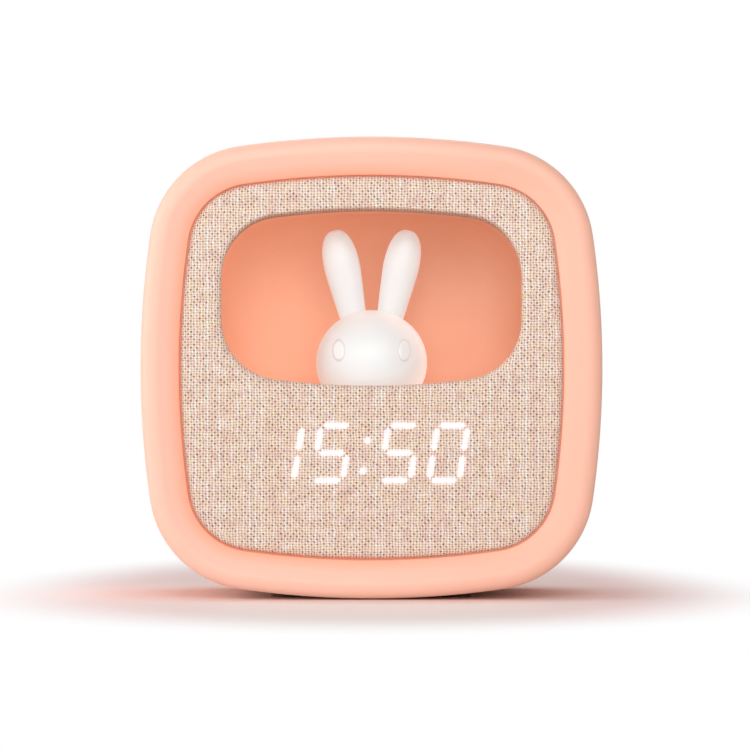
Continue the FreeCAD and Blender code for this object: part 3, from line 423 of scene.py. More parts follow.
# %% [markdown]
# The front housing is one closed loop carried round the casing's line: outside wall, big round
# at the front edge, crest, slope down to the cloth, the ledge that the panel lies on, and back
# along the inside. It could be a box with its edges bevelled, but a profile gives every round
# its own radius, and the crest's round is what gives the rim its soft highlight.

# %% Front housing
CREST_IN = 5.2 * MM
FRONT_ROUND = 4.2 * MM
CREST_ROUND = 4.5 * MM
EDGE_BREAK = 0.3 * MM
LEDGE_BACK = LEDGE_Y + 3.0 * MM
LEDGE_IN = RIM_WIDTH + 7.0 * MM
housing_profile = rounded_profile(
    [
        (0, SEAM_Y, EDGE_BREAK),
        (0, FRONT_Y, FRONT_ROUND),
        (CREST_IN, FRONT_Y, CREST_ROUND),
        (RIM_WIDTH, FRONT_Y + RIM_DROP, 0.5 * MM),
        (RIM_WIDTH, LEDGE_Y, 0.2 * MM),
        (LEDGE_IN, LEDGE_Y, EDGE_BREAK),
        (LEDGE_IN, LEDGE_BACK, EDGE_BREAK),
        (WALL, LEDGE_BACK, 0.5 * MM),
        (WALL, SEAM_Y, EDGE_BREAK),
    ]
)
housing = surface(
    "housing_shell", carried(CASE_LINE, housing_profile, CASE_Z), close_rows=True,
    inset=housing_profile[:, 0]
)
housing.data.materials.append(RIM)
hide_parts("front_housing")

# %% [markdown]
# The cloth is one sheet of plain weave, stretched over the panel and turned round its outer
# edge and into the window. A sheet has no thickness worth modelling here, so it is one
# surface: rows of points that run from inside the window, over the front and round the edge.
# Between the two outlines a row is a straight mix of the window's point and the panel's point.
# A cloth simulation would find the same taut face after many more steps.

# %% Cloth cover
CLOTH_IN = RIM_WIDTH + PANEL_GAP
EDGE_ROUND = 2.8 * MM
WINDOW_ROUND = 2.3 * MM


def cloth_grid(face_rows=60, turn_rows=9, flat=False):
    """Window wrap, front face and outer wrap of the cloth, as rows of points.

    Both wraps are quarter circles: inset = r (1 - cos a) and depth = r (1 - sin a). Laid flat,
    a wrap reaches on by its arc, so its inset is r - r (pi / 2 - a) and its depth is 0.
    """
    turn = np.linspace(0, np.pi / 2, turn_rows)

    def wrap(radius):
        arc = radius * (1 - (np.pi / 2 - turn)) if flat else radius * (1 - np.cos(turn))
        depth = radius * (1 - np.sin(turn) * (not flat)) * (not flat)
        straight = LEDGE_Y - CLOTH_Y - radius
        start = [arc[0] - straight, 0] if flat else [0, LEDGE_Y - CLOTH_Y]
        return np.concatenate([[start], np.stack([arc, depth], axis=1)])

    wrap_in = wrap(WINDOW_ROUND) * (-1, 1) + (0, CLOTH_Y)
    wrap_out = wrap(EDGE_ROUND)[::-1] + (CLOTH_IN, CLOTH_Y)
    inner = carried(WINDOW_LINE, wrap_in, WINDOW_Z)
    outer = carried(CASE_LINE, wrap_out, CASE_Z)
    share = np.linspace(0, 1, face_rows + 2)[1:-1, None, None]
    face = (1 - share) * inner[-1][None] + share * outer[0][None]
    return np.concatenate([inner, face, outer])


cloth_points = cloth_grid()
cloth = surface("cloth_sheet", cloth_points, body=None, laid=cloth_grid(flat=True))


def face_front(piece):
    """Turns an open sheet so that most of its faces look to the front."""
    work = bmesh.new()
    work.from_mesh(piece.data)
    if sum(f.normal.y * f.calc_area() for f in work.faces) > 0:
        bmesh.ops.reverse_faces(work, faces=work.faces)
    work.to_mesh(piece.data)
    work.free()


face_front(cloth)

# %% [markdown]
# The weave is drawn by arithmetic, because a picture of cloth would repeat and blur. Dividing
# the place by the thread pitch and taking the whole part numbers the threads; the sum of the
# two numbers, odd or even, says which thread lies on top. The place is the one that the point
# has when the sheet is laid flat, so the threads run on round the edges without stretching.
# Across itself a thread is round, and along itself it dips where it goes under.

# %% Threads
THREAD_X = 0.975 * MM
THREAD_Z = 0.861 * MM
THREAD_SWAY = 0.9 * MM


def swaying(tree, place):
    """The place moved by noise, by THREAD_SWAY times a value from -0.5 to 0.5."""
    wobble = node(tree, "ShaderNodeTexNoise", {"Vector": place, "Scale": 260.0, "Detail": 2.0})
    shift = vector_math(tree, "SUBTRACT", wobble.outputs["Color"], (0.5, 0.5, 0.5))
    shift = vector_math(tree, "MULTIPLY", shift, (THREAD_SWAY, 0, THREAD_SWAY))
    return vector_math(tree, "ADD", place, shift)


def thread_height(tree, a, b, upright):
    """Height of the thread on top, where a and b run from -0.5 to 0.5 over one crossing.

    An upright thread has (1 - 3.6 a^2)(1 - 1.2 b^2), and a level one has a and b exchanged.
    """
    def hump(value, depth):
        square = math(tree, "MULTIPLY", value, value)
        return math(tree, "SUBTRACT", 1.0, math(tree, "MULTIPLY", square, 4 * depth))

    warp = math(tree, "MULTIPLY", hump(a, 0.9), hump(b, 0.3))
    weft = math(tree, "MULTIPLY", hump(b, 0.9), hump(a, 0.3))
    return node(tree, "ShaderNodeMix", {0: upright, 2: weft, 3: warp},
                data_type="FLOAT").outputs[0]


print("threads across the panel:", round(2 * (CASE_HALF - CLOTH_IN) / THREAD_X))

# %% [markdown]
# Each thread drifts along its length between cream, blush and mauve, and every second one is
# paler and bolder. A table with a colour for each thread would be long and would end at the
# panel's edge, so the thread's own number is turned into a random value that picks its shade.
# Where four threads meet there is a small hole.

# %% Colours and holes of the weave
WARP_SHADES = [(212, 182, 188), (232, 200, 196), (240, 212, 184), (250, 216, 210),
               (255, 238, 208), (255, 236, 232), (255, 252, 242)]
WEFT_SHADES = [(216, 186, 192), (240, 212, 200), (253, 231, 206), (255, 242, 236)]
# Painted shade between the threads, where their height is low.
VALLEY_PAINTED_SHADE = linear(176, 132, 112)
HOLE_SHADE = linear(104, 62, 44)


def thread_shade(tree, number, along, bold, seed, shades):
    """Colour of a thread by its number, at a place along it.

    Tone = 1.5 n - 0.42 + 0.32 w + 0.22 bold, where n is noise that drifts along the thread and
    w is one random value for the whole thread. A colour ramp turns the tone into a shade.
    """
    whole = node(tree, "ShaderNodeCombineXYZ", {0: number, 1: seed})
    whole = node(tree, "ShaderNodeTexWhiteNoise", {"Vector": whole.outputs[0]})
    lane = node(tree, "ShaderNodeCombineXYZ", {0: math(tree, "MULTIPLY", number, 0.37), 1: seed,
                                               2: math(tree, "MULTIPLY", along, 0.19)})
    drift = node(tree, "ShaderNodeTexNoise",
                 {"Vector": lane.outputs[0], "Scale": 1.0, "Detail": 2.0})
    tone = math(tree, "MULTIPLY_ADD", drift.outputs["Fac"], 1.5, -0.42)
    tone = math(tree, "MULTIPLY_ADD", whole.outputs["Value"], 0.32, tone)
    tone = math(tree, "MULTIPLY_ADD", bold, 0.22, tone)
    ramp = node(tree, "ShaderNodeValToRGB", {0: tone})
    stops = ramp.color_ramp.elements
    stops.remove(stops[1])
    stops[0].color = linear(*shades[0])
    for k, shade in enumerate(shades[1:], 1):
        stops.new(k / (len(shades) - 1)).color = linear(*shade)
    return ramp.outputs[0]


def crossing_colour(tree, column, row, upright):
    """Mix of the two threads' colours by s = max(upright, 0.6 bold)(1 - 0.5 crossed).

    A bold upright thread shows through where it goes under, and crossed is 1 where a bold
    level thread passes a plain upright one.
    """
    bold = math(tree, "FLOORED_MODULO", column, 2.0)
    bold_row = math(tree, "FLOORED_MODULO", row, 2.0)
    warp = thread_shade(tree, column, row, bold, 7.0, WARP_SHADES)
    weft = thread_shade(tree, row, column, bold_row, 31.0, WEFT_SHADES)
    on_top = math(tree, "MAXIMUM", upright, math(tree, "MULTIPLY", bold, 0.6))
    crossed = math(tree, "MULTIPLY", bold_row, math(tree, "SUBTRACT", 1.0, bold))
    on_top = math(tree, "MULTIPLY", on_top, math(tree, "MULTIPLY_ADD", crossed, -0.5, 1.0))
    return mixed(tree, on_top, weft, warp)


def weave_holes(tree, across, up):
    """Share of the hole at the nearest corner of the threads: depth * e^(-6.8 r).

    Here r = 1.6 x^2 + 0.7 z^2 in thread widths, and depth = (0.3 + 0.62 odd)(0.3 + 0.85 w):
    the pull of the threads opens every second hole wider, and w is one random value per hole.
    """
    corner_x, corner_z = math(tree, "ROUND", across), math(tree, "ROUND", up)
    far_x = math(tree, "SUBTRACT", across, corner_x)
    far_z = math(tree, "SUBTRACT", up, corner_z)
    reach = math(tree, "MULTIPLY_ADD", math(tree, "MULTIPLY", far_x, far_x), 1.6,
                 math(tree, "MULTIPLY", math(tree, "MULTIPLY", far_z, far_z), 0.7))
    odd = math(tree, "FLOORED_MODULO", math(tree, "ADD", corner_x, corner_z), 2.0)
    spot = node(tree, "ShaderNodeCombineXYZ", {0: corner_x, 1: corner_z})
    spot = node(tree, "ShaderNodeTexWhiteNoise", {"Vector": spot.outputs[0]})
    pull = math(tree, "MULTIPLY_ADD", spot.outputs["Value"], 0.85, 0.3)
    depth = math(tree, "MULTIPLY", math(tree, "MULTIPLY_ADD", odd, 0.62, 0.3), pull)
    return math(tree, "MULTIPLY", math(tree, "EXPONENT", math(tree, "MULTIPLY", reach, -6.8)),
                depth)


def weave(tree, place):
    """Height, colour and gap of a plain weave with pitches THREAD_X and THREAD_Z, with painted
    shade between the threads.
    """
    parts = node(tree, "ShaderNodeSeparateXYZ", {0: swaying(tree, place)})
    across = math(tree, "DIVIDE", parts.outputs["X"], THREAD_X)
    up = math(tree, "DIVIDE", parts.outputs["Z"], THREAD_Z)
    column, row = math(tree, "FLOOR", across), math(tree, "FLOOR", up)
    a = math(tree, "SUBTRACT", math(tree, "FRACT", across), 0.5)
    b = math(tree, "SUBTRACT", math(tree, "FRACT", up), 0.5)
    upright = math(tree, "FLOORED_MODULO", math(tree, "ADD", column, row), 2.0)
    height = thread_height(tree, a, b, upright)
    colour = crossing_colour(tree, column, row, upright)
    # Painted shade: the colour darkens where the threads are low.
    painted_valley_share = graded(tree, height, 0.15, 0.8, 0.6, 0.0, smooth=False)
    hole = weave_holes(tree, across, up)
    colour = mixed(tree, painted_valley_share, colour, VALLEY_PAINTED_SHADE)
    colour = mixed(tree, hole, colour, HOLE_SHADE)
    return height, colour, math(tree, "SUBTRACT", 1.0, hole)


print("shades:", len(WARP_SHADES), "upright,", len(WEFT_SHADES), "level")

# %% [markdown]
# The digits are light that comes through the cloth from bars behind it. Real lamps behind a
# thin sheet would be slow and noisy to render, so the light belongs to the cloth's finish. For
# each lit bar the distance to its middle line is worked out: fold the place to one quarter
# with ABSOLUTE, take off the bar's half length, and add up what is left in the two directions,
# which gives each bar its pointed ends. The least of all these distances is the distance to
# the nearest bar. Close to it the cloth glows white, and the glow fades over about a
# millimetre.

# %% Glowing digits
DIGIT_X = -1.9 * MM
DIGIT_Z = CASE_Z - 27.7 * MM
DIGIT_HALF_W = 4.9 * MM
DIGIT_HALF_H = 8.9 * MM
DIGIT_LEAN = np.tan(np.radians(9.0))
DIGIT_PITCH = 15.9 * MM
HOUR_GAP = 21.85 * MM
STROKE_HALF = 0.85 * MM
STROKE_GAP = 0.5 * MM
STROKE_TIP = 1.35 * STROKE_HALF
DOT_UP = 4.9 * MM
DOT_DROP = 0.9 * MM
DOT_HALF = 0.1 * MM
CORE_FROM, CORE_TO = 0.4 * MM, 1.65 * MM
HALO_FADE = 1.1 * MM
HALO_SHARE = 0.18
FIGURES = {"0": "abcdef", "1": "bc", "5": "acdfg"}
STROKES = {
    "a": (0, 1, True), "b": (1, 0.5, False), "c": (1, -0.5, False), "d": (0, -1, True),
    "e": (-1, -0.5, False), "f": (-1, 0.5, False), "g": (0, 0, True),
}


def lit_bars(shown="1550"):
    """Middle and half length, in (x, z), of each lit bar before the digits lean over."""
    starts = np.array([-HOUR_GAP / 2 - DIGIT_PITCH, -HOUR_GAP / 2, HOUR_GAP / 2,
                       HOUR_GAP / 2 + DIGIT_PITCH])
    bars = []
    flat_half = DIGIT_HALF_W - STROKE_GAP - STROKE_TIP
    upright_half = DIGIT_HALF_H / 2 - STROKE_GAP - STROKE_TIP
    for start, figure in zip(starts, shown):
        for letter in FIGURES[figure]:
            across, up, flat = STROKES[letter]
            middle = (start + across * DIGIT_HALF_W, up * DIGIT_HALF_H)
            bars.append((middle, (flat_half, 0) if flat else (0, upright_half)))
    return bars


def bar_distance(tree, flat):
    """Distance from a place on the upright digits to the nearest lit bar or dot."""
    nearest = None
    for middle, half in lit_bars():
        off = vector_math(tree, "SUBTRACT", flat, (*middle, 0))
        off = vector_math(tree, "ABSOLUTE", off)
        off = vector_math(tree, "SUBTRACT", off, (*half, 0))
        off = vector_math(tree, "MAXIMUM", off, (0, 0, 0))
        far = vector_math(tree, "DOT_PRODUCT", off, (1, 1, 0))
        nearest = far if nearest is None else math(tree, "MINIMUM", nearest, far)
    for dot in (-DOT_UP, DOT_UP):
        far = vector_math(tree, "DISTANCE", flat, (0, dot - DOT_DROP, 0))
        nearest = math(tree, "MINIMUM", nearest, math(tree, "SUBTRACT", far, DOT_HALF))
    return nearest


def glow(tree, place):
    """Light through the cloth at distance d: a core that fades from CORE_FROM to CORE_TO, and
    a halo of HALO_SHARE * e^(-d / HALO_FADE). The digits lean, so X is first moved back by
    DIGIT_LEAN times the height.
    """
    parts = node(tree, "ShaderNodeSeparateXYZ", {0: place})
    rise = math(tree, "SUBTRACT", parts.outputs["Z"], DIGIT_Z)
    across = math(tree, "SUBTRACT", parts.outputs["X"], DIGIT_X)
    across = math(tree, "SUBTRACT", across, math(tree, "MULTIPLY", rise, DIGIT_LEAN))
    flat = node(tree, "ShaderNodeCombineXYZ", {0: across, 1: rise}).outputs[0]
    nearest = bar_distance(tree, flat)
    core = graded(tree, nearest, CORE_FROM, CORE_TO, 1.0, 0.0)
    halo = math(tree, "EXPONENT", math(tree, "MULTIPLY", nearest, -1 / HALO_FADE))
    light = math(tree, "MULTIPLY_ADD", halo, HALO_SHARE, core)
    front = math(tree, "LESS_THAN", parts.outputs["Y"], CLOTH_Y + 1 * MM)
    return math(tree, "MULTIPLY", light, front)


print("lit bars:", len(lit_bars()))

# %% [markdown]
# The cloth's finish joins the weave and the digits. It could be two materials, but light and
# threads have to agree: more light comes through the holes than through the threads, so the
# digits keep the cloth's grain. On the band that is turned down into the window, the shade and
# the peach light of the bowl below it are painted into the colour where it faces down.

# %% Cloth finish
def cloth_finish():
    """Weave and digits together, with painted shade and painted peach reflection on the window's
    upper turn-in.
    """
    made, tree, shader, place = new_finish("woven_cloth")
    laid = node(tree, "ShaderNodeAttribute", attribute_name="laid").outputs["Vector"]
    height, colour, gap = weave(tree, laid)
    facing = node(tree, "ShaderNodeSeparateXYZ",
                  {0: tree.nodes.new("ShaderNodeNewGeometry").outputs["Normal"]})
    # Painted shade and reflection: where the cloth faces down above the window's middle, it turns
    # peach brown.
    down = graded(tree, facing.outputs["Z"], -0.3, -0.7, 0.0, 0.75, smooth=False)
    in_window = math(tree, "GREATER_THAN", object_place(tree)["Z"], WINDOW_Z)
    colour = mixed(tree, math(tree, "MULTIPLY", down, in_window), colour, linear(172, 112, 84))
    tree.links.new(colour, shader.inputs["Base Color"])
    rough = math(tree, "MULTIPLY_ADD", gap, -0.15, 0.95)
    tree.links.new(rough, shader.inputs["Roughness"])
    shader.inputs["Sheen Weight"].default_value = 0.15
    shader.inputs["Sheen Roughness"].default_value = 0.5
    shader.inputs["Specular IOR Level"].default_value = 0.2
    raised = node(tree, "ShaderNodeBump",
                  {"Height": height, "Strength": 0.8, "Distance": 0.35 * MM})
    tree.links.new(raised.outputs[0], shader.inputs["Normal"])
    thread_light = math(tree, "MULTIPLY_ADD", gap, -0.42, 0.86)
    light = math(tree, "MULTIPLY", glow(tree, place), thread_light)
    tree.links.new(light, shader.inputs["Emission Strength"])
    shader.inputs["Emission Color"].default_value = (0.92, 0.86, 1.0, 1.0)
    return made


cloth.data.materials.append(cloth_finish())
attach(cloth, "casing")
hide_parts("cloth_cover")
print("cloth finish:", cloth.data.materials[0].name)

# %% [markdown]
# The rabbit is cast in white silicone: a head like a round pebble with two raised oval eyes,
# and two flat ears that are widest near the tip. It could be sculpted, but smooth casts like
# this follow simple formulas. The head is an ellipsoid whose radius grows by a smooth step
# inside each eye's oval.

# %% Head of the rabbit lamp
HEAD = np.array([18.3, 15.0, 17.4]) * MM
HEAD_AT = np.array([0.0, -14.0 * MM, CASE_Z + 1.6 * MM])
SEAT_Z = niche_low[2] + 4.0 * MM
EYE_AT = (10.7 * MM, 4.0 * MM)
EYE_HALF = (1.8 * MM, 3.15 * MM)
EYE_RISE = 0.42 * MM
EYE_FOOT = 1.12
EYE_SLOPE = 0.24


def smooth_step(value):
    """3 v^2 - 2 v^3, level at 0 and at 1."""
    value = np.clip(value, 0, 1)
    return value**2 * (3 - 2 * value)


def head_grid(rows=200, cols=360):
    """Ellipsoid in polar angles, cut flat at the seat, with the eyes raised on its front.

    An eye's oval value is the length of ((|x| - ex) / eye width, (z - ez) / eye height): it
    is 1 on the oval, and the eye rises by EYE_RISE from EYE_FOOT inwards, over EYE_SLOPE.
    """
    polar = np.linspace(0, np.pi, rows)[:, None]
    around = np.linspace(0, 2 * np.pi, cols, endpoint=False)[None, :]
    unit = np.stack([np.sin(polar) * np.cos(around), np.sin(polar) * np.sin(around),
                     np.cos(polar) * np.ones_like(around)], axis=2)
    point = unit * HEAD
    oval = np.hypot((np.abs(point[..., 0]) - EYE_AT[0]) / EYE_HALF[0],
                    (point[..., 2] - EYE_AT[1]) / EYE_HALF[1])
    raised = smooth_step((EYE_FOOT - oval) / EYE_SLOPE) * (point[..., 1] < 0)
    grown = point * (1 + EYE_RISE * raised / np.linalg.norm(point, axis=2))[..., None]
    grown = grown + HEAD_AT
    grown[..., 2] = np.maximum(grown[..., 2], SEAT_Z)
    return grown


head = surface("lamp_head", head_grid())

# %% [markdown]
# An ear is an egg-shaped outline with a flat section, leaned outwards. A Mirror modifier could
# make the second one from the first, but the two are pieces of their own, so one function is
# called with a side of -1 and of 1, which keeps them exact mirror images.

# %% Ears
EAR_ROOT = (5.65 * MM, 4.0 * MM, 13.0 * MM)
EAR_LENGTH = 31.6 * MM
EAR_HALF_W = 5.95 * MM
EAR_ROOT_W = 4.1 * MM
EAR_WIDEST = 0.6
EAR_FLAT = 0.6
EAR_POWER = 2.4
EAR_TILT = np.radians(12.3)


def ear_grid(side, rows=90, cols=64):
    """Ear: half-width w(s) along its length, section an ellipse w by EAR_FLAT w, then tilted.

    Above the widest place w = W (1 - t^p)^(1/p), with p = EAR_POWER and t from 0 there to 1 at
    the tip. Below it w falls smoothly to the root's, and the last 8 % close the root.
    """
    angle = np.linspace(-np.pi / 2, np.pi / 2, rows)
    s = (np.sin(angle) + 1) / 2
    over = np.clip((s - EAR_WIDEST) / (1 - EAR_WIDEST), 0, 1)
    under = np.clip((EAR_WIDEST - s) / EAR_WIDEST, 0, 1)
    width = EAR_HALF_W * (1 - over**EAR_POWER) ** (1 / EAR_POWER)
    width = width - (EAR_HALF_W - EAR_ROOT_W) * under**1.2
    width = width * np.minimum(1, np.sqrt(np.clip(s / 0.08, 0, 1)))
    turn = np.linspace(0, 2 * np.pi, cols, endpoint=False)
    x = width[:, None] * np.cos(turn)
    y = width[:, None] * np.sin(turn) * EAR_FLAT
    z = np.broadcast_to((s * EAR_LENGTH)[:, None], x.shape)
    tilt = side * EAR_TILT
    across = x * np.cos(tilt) + z * np.sin(tilt) + side * EAR_ROOT[0]
    rise = -x * np.sin(tilt) + z * np.cos(tilt) + EAR_ROOT[2]
    return np.stack([across, y + EAR_ROOT[1], rise], axis=2) + HEAD_AT


ears = [surface(f"lamp_ear_{n}", ear_grid(s)) for n, s in (("left", -1), ("right", 1))]

# %% [markdown]
# Silicone is slightly see-through, so light that enters it comes out again near by. The
# shader's subsurface part does this; a soft dull gloss lies over it. The groove round each eye
# is finer than the mesh, so the finish paints its shade as a darker ring, and a greyer edge is
# painted as shade where the surface turns away from the view.
#
# The warm light that the head gets from the bowl round it is a light of the finish's own. It
# grows where the surface turns away, towards the right and towards the seat.

# %% Silicone
GROOVE_AT = 1.08
GROOVE_WIDTH = 0.1
GROOVE_SHADE_SHARE = 0.42


def painted_groove_shade(tree):
    """Share of the painted shade of a fine groove round each eye: e^(-u^2), u = (oval -
    GROOVE_AT) / width.
    """
    at = object_place(tree)
    across = math(tree, "SUBTRACT", math(tree, "ABSOLUTE", at["X"]), EYE_AT[0])
    across = math(tree, "DIVIDE", across, EYE_HALF[0])
    up = math(tree, "SUBTRACT", at["Z"], HEAD_AT[2] + EYE_AT[1])
    up = math(tree, "DIVIDE", up, EYE_HALF[1])
    oval = vector_math(tree, "LENGTH", node(tree, "ShaderNodeCombineXYZ",
                                            {0: across, 1: up}).outputs[0])
    off = math(tree, "DIVIDE", math(tree, "SUBTRACT", oval, GROOVE_AT), GROOVE_WIDTH)
    share = math(tree, "EXPONENT", math(tree, "MULTIPLY", math(tree, "MULTIPLY", off, off), -1.0))
    front = math(tree, "LESS_THAN", at["Y"], HEAD_AT[1] - 3 * MM)
    return math(tree, "MULTIPLY", math(tree, "MULTIPLY", share, front), GROOVE_SHADE_SHARE)


def bowl_light(tree, grazing):
    """Light of the silicone's own: turned away * to the right * below the ears + low down."""
    at = object_place(tree)
    seat = HEAD_AT[2] - 14 * MM
    ears_from, ears_full = HEAD_AT[2] + 12 * MM, HEAD_AT[2] + 20 * MM
    turned = graded(tree, grazing, 0.1, 0.7, 0.0, 0.26)
    sideways = graded(tree, at["X"], -16 * MM, 8 * MM, smooth=False)
    below_ears = graded(tree, at["Z"], ears_from, ears_full, 1.0, 0.3, smooth=False)
    low = graded(tree, at["Z"], HEAD_AT[2], seat, 0.24, 0.4, smooth=False)
    return math(tree, "MULTIPLY_ADD", turned, math(tree, "MULTIPLY", sideways, below_ears), low)


def silicone_finish():
    """White silicone with painted shade in its eye grooves and on its turned-away edges, and warm
    light of its own.
    """
    made = moulded("white_silicone", linear(204, 209, 210), drift=0.006, rough=0.36, grain=1800,
                   bump=0.02)
    tree, skin = tree_and_skin(made)
    skin.inputs["Subsurface Weight"].default_value = 0.55
    skin.inputs["Subsurface Radius"].default_value = (1.0, 0.75, 0.65)
    skin.inputs["Subsurface Scale"].default_value = 2 * MM
    # Painted shade: a darker ring where the eye's groove would be.
    groove = painted_groove_shade(tree)
    tint_over(made, groove, linear(196, 178, 174))
    grazing = node(tree, "ShaderNodeLayerWeight", {"Blend": 0.5}).outputs["Facing"]
    # Painted shade: greyer where the surface turns away from the view.
    tint_over(made, graded(tree, grazing, 0.88, 1.0, 0.0, 0.5, smooth=False),
              linear(196, 168, 160))
    unlit = math(tree, "MULTIPLY_ADD", groove, -0.9, 1.0)
    light = math(tree, "MULTIPLY", bowl_light(tree, grazing), unlit)
    skin.inputs["Emission Color"].default_value = linear(255, 238, 230)
    tree.links.new(light, skin.inputs["Emission Strength"])
    return made


SILICONE = silicone_finish()
for piece in (head, *ears):
    piece.data.materials.append(SILICONE)
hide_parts("rabbit_lamp")
for piece in ears:
    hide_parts(piece.name.replace("lamp", "rabbit"))
print("silicone pieces:", 1 + len(ears))

# %% [markdown]
# The rest of the clock keeps the model's own solids and only gets its finishes. A solid from
# the model is a heap of loose triangles, which would shade in flat facets. So the pieces with
# large round surfaces are shown by copies whose triangles are joined and shaded smooth, with
# sharp edges kept sharp. Long thin triangles would still pull the shading askew, so a Weighted
# Normal modifier lets the large faces decide.

# %% Pieces that keep the model's shape
SHARP_ANGLE = np.radians(35.0)
SLOTS = {s["node"]: s["material_slot"] for s in frame["record"]["subparts"]}
OWNERS = {member: body for body, members in frame["record"]["behaviour"]["bodies"].items()
          for member in members}


def joined_copy(name, source, finish):
    """A merged, smoothly shaded copy that stands for a node of the model."""
    mesh = nodes[source].data.copy()
    mesh.name = name
    work = bmesh.new()
    work.from_mesh(mesh)
    bmesh.ops.remove_doubles(work, verts=work.verts, dist=1e-6)
    work.to_mesh(mesh)
    work.free()
    mesh.materials.clear()
    mesh.materials.append(finish)
    mesh.polygons.foreach_set("use_smooth", np.ones(len(mesh.polygons), dtype=bool))
    mesh.polygons.foreach_set("material_index", np.zeros(len(mesh.polygons), dtype=np.int32))
    mesh.set_sharp_from_angle(angle=SHARP_ANGLE)
    piece = bpy.data.objects.new(name, mesh)
    bpy.context.collection.objects.link(piece)
    level = piece.modifiers.new("level", "WEIGHTED_NORMAL")
    level.keep_sharp = True
    level.mode = "FACE_AREA_WITH_ANGLE"
    level.weight = 95
    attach(piece, OWNERS[source])
    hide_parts(source)
    return piece


# %% [markdown]
# Each material slot of the model gets one finish. Most of these pieces only show when the
# battery door is off, and still they are dressed, because a part from a library is opened and
# looked at. A table from slot to finish and one loop do this, so no piece can be forgotten.

# %% Finishes of the model's pieces
FINISHES = {
    "casing_peach": PEACH,
    "button_peach": moulded("pale_peach_button", linear(255, 205, 182), drift=0.01, rough=0.4),
    "niche_peach": BOWL,
    "silicone_white": SILICONE,
    "inner_plastic": moulded("plain_white_moulding", linear(236, 232, 226), rough=0.55),
    "film": moulded("milky_film", linear(240, 240, 238), rough=0.35, grain=900),
    "digit_light": moulded("light_bar", linear(255, 252, 248), rough=0.3),
    "digit_dark": moulded("dark_bar", linear(214, 206, 200), rough=0.3),
    "circuit_board": moulded("green_laminate", linear(28, 110, 62), drift=0.1, rough=0.35,
                             grain=900, bump=0.2),
    "lamp_chip": moulded("light_chip", linear(246, 232, 150), rough=0.25),
    "black_resin": moulded("black_resin", linear(38, 38, 40), drift=0.1, rough=0.5, bump=0.15),
    "plated_metal": moulded("bright_plating", linear(222, 220, 214), rough=0.22, metallic=1.0),
    "magnet_steel": moulded("plated_magnet", linear(150, 150, 154), rough=0.3, metallic=1.0),
    "cone_paper": moulded("cone_paper", linear(52, 50, 50), drift=0.15, rough=0.85, grain=700,
                          bump=0.5),
    "screw_steel": moulded("zinc_screw", linear(176, 176, 172), rough=0.32, metallic=1.0,
                           grain=1200, bump=0.1),
    "cell_jacket": moulded("plain_cell_jacket", linear(60, 66, 84), rough=0.3),
    "rubber_foot": moulded("dark_rubber", linear(104, 62, 54), drift=0.1, rough=0.8, bump=0.25),
    "lead_film": moulded("flat_lead", linear(226, 220, 208), rough=0.45),
}
SMOOTH = ["rear_cover", "niche", "battery_door", "alarm_slider"]
SMOOTH += [n for n in nodes if n.endswith("_button") or n.startswith("foot_")]
REBUILT = {"front_housing", "cloth_cover", "rabbit_lamp", "rabbit_ear_left", "rabbit_ear_right"}
for name, slot in SLOTS.items():
    if name in REBUILT or slot not in FINISHES:
        continue
    if name in SMOOTH:
        joined_copy(f"{name}_skin", name, FINISHES[slot])
        continue
    nodes[name].data.materials.clear()
    nodes[name].data.materials.append(FINISHES[slot])
print("smooth copies:", len(SMOOTH))

# %% [markdown]
# The photograph is taken from straight in front, level with the clock's middle, through a long
# lens. A guess by eye would drift, so the lens comes from the scale: at the rim, one of the
# picture's 750 pixels is 0.3247 mm.

# %% Camera
IMAGE = 750
PIXEL = 0.3247 * MM
CASE_PIXEL = (371.5, 367.5)
CAMERA_AWAY = 1.1
CREST_BACK = 4 * MM
SENSOR = 36.0
camera_data = bpy.data.cameras.new("camera")
camera_data.sensor_width = SENSOR
camera_data.lens = SENSOR * CAMERA_AWAY / (IMAGE * PIXEL)
camera_data.clip_start = 0.01
camera = bpy.data.objects.new("camera", camera_data)
bpy.context.collection.objects.link(camera)
camera.location = (
    (IMAGE / 2 - CASE_PIXEL[0]) * PIXEL,
    FRONT_Y + CREST_BACK - CAMERA_AWAY,
    CASE_Z - (IMAGE / 2 - CASE_PIXEL[1]) * PIXEL,
)
camera.rotation_euler = (np.pi / 2, 0, 0)
bpy.context.scene.camera = camera
print("lens", round(camera_data.lens, 1), "mm")

# %% [markdown]
# Seen from the camera, only the floor close to the clock takes a shadow, tinted by the peach
# shell, and the rest is pure white. Stronger lamps could bleach the floor, but they would bleach
# the clock too. So the floor's finish does it, for the camera alone, and near the clock it paints
# the peach tint and a deeper shadow where the clock stands: to every other ray it is
# plain and matt, so that the light it gives back to the clock stays plain.

# %% Floor
FLOOR_SIZE = 6.0
SHADOW_REACH = (0.135, 0.26)
SHADOW_NEARER = 1.45
CONTACT_REACH = (0.09, 0.05)


def oval_distance(tree, place, reach):
    """Distance from the clock's middle in the floor: 1 on the oval with this reach."""
    scaled = vector_math(tree, "MULTIPLY", place, (1 / reach[0], 1 / reach[1], 0))
    return vector_math(tree, "LENGTH", scaled)


def painted_floor_shade(tree, place, beside):
    """Painted pink reflection of the shell, pale under the clock's middle and pinker to both
    sides, and a painted shadow, deepest where it stands.
    """
    # Painted reflection: the floor is tinted pink by the shell, pinker to both sides.
    pink = graded(tree, math(tree, "ABSOLUTE", beside), 0.03, 0.09)
    tint = mixed(tree, pink, (0.98, 0.88, 0.86, 1), (0.98, 0.8, 0.785, 1))
    # Painted shadow: a deeper colour where the clock stands, within CONTACT_REACH.
    under = graded(tree, oval_distance(tree, place, CONTACT_REACH), 0.7, 1.2, 1.0, 0.0)
    return mixed(tree, under, tint, (0.88, 0.65, 0.6, 1))


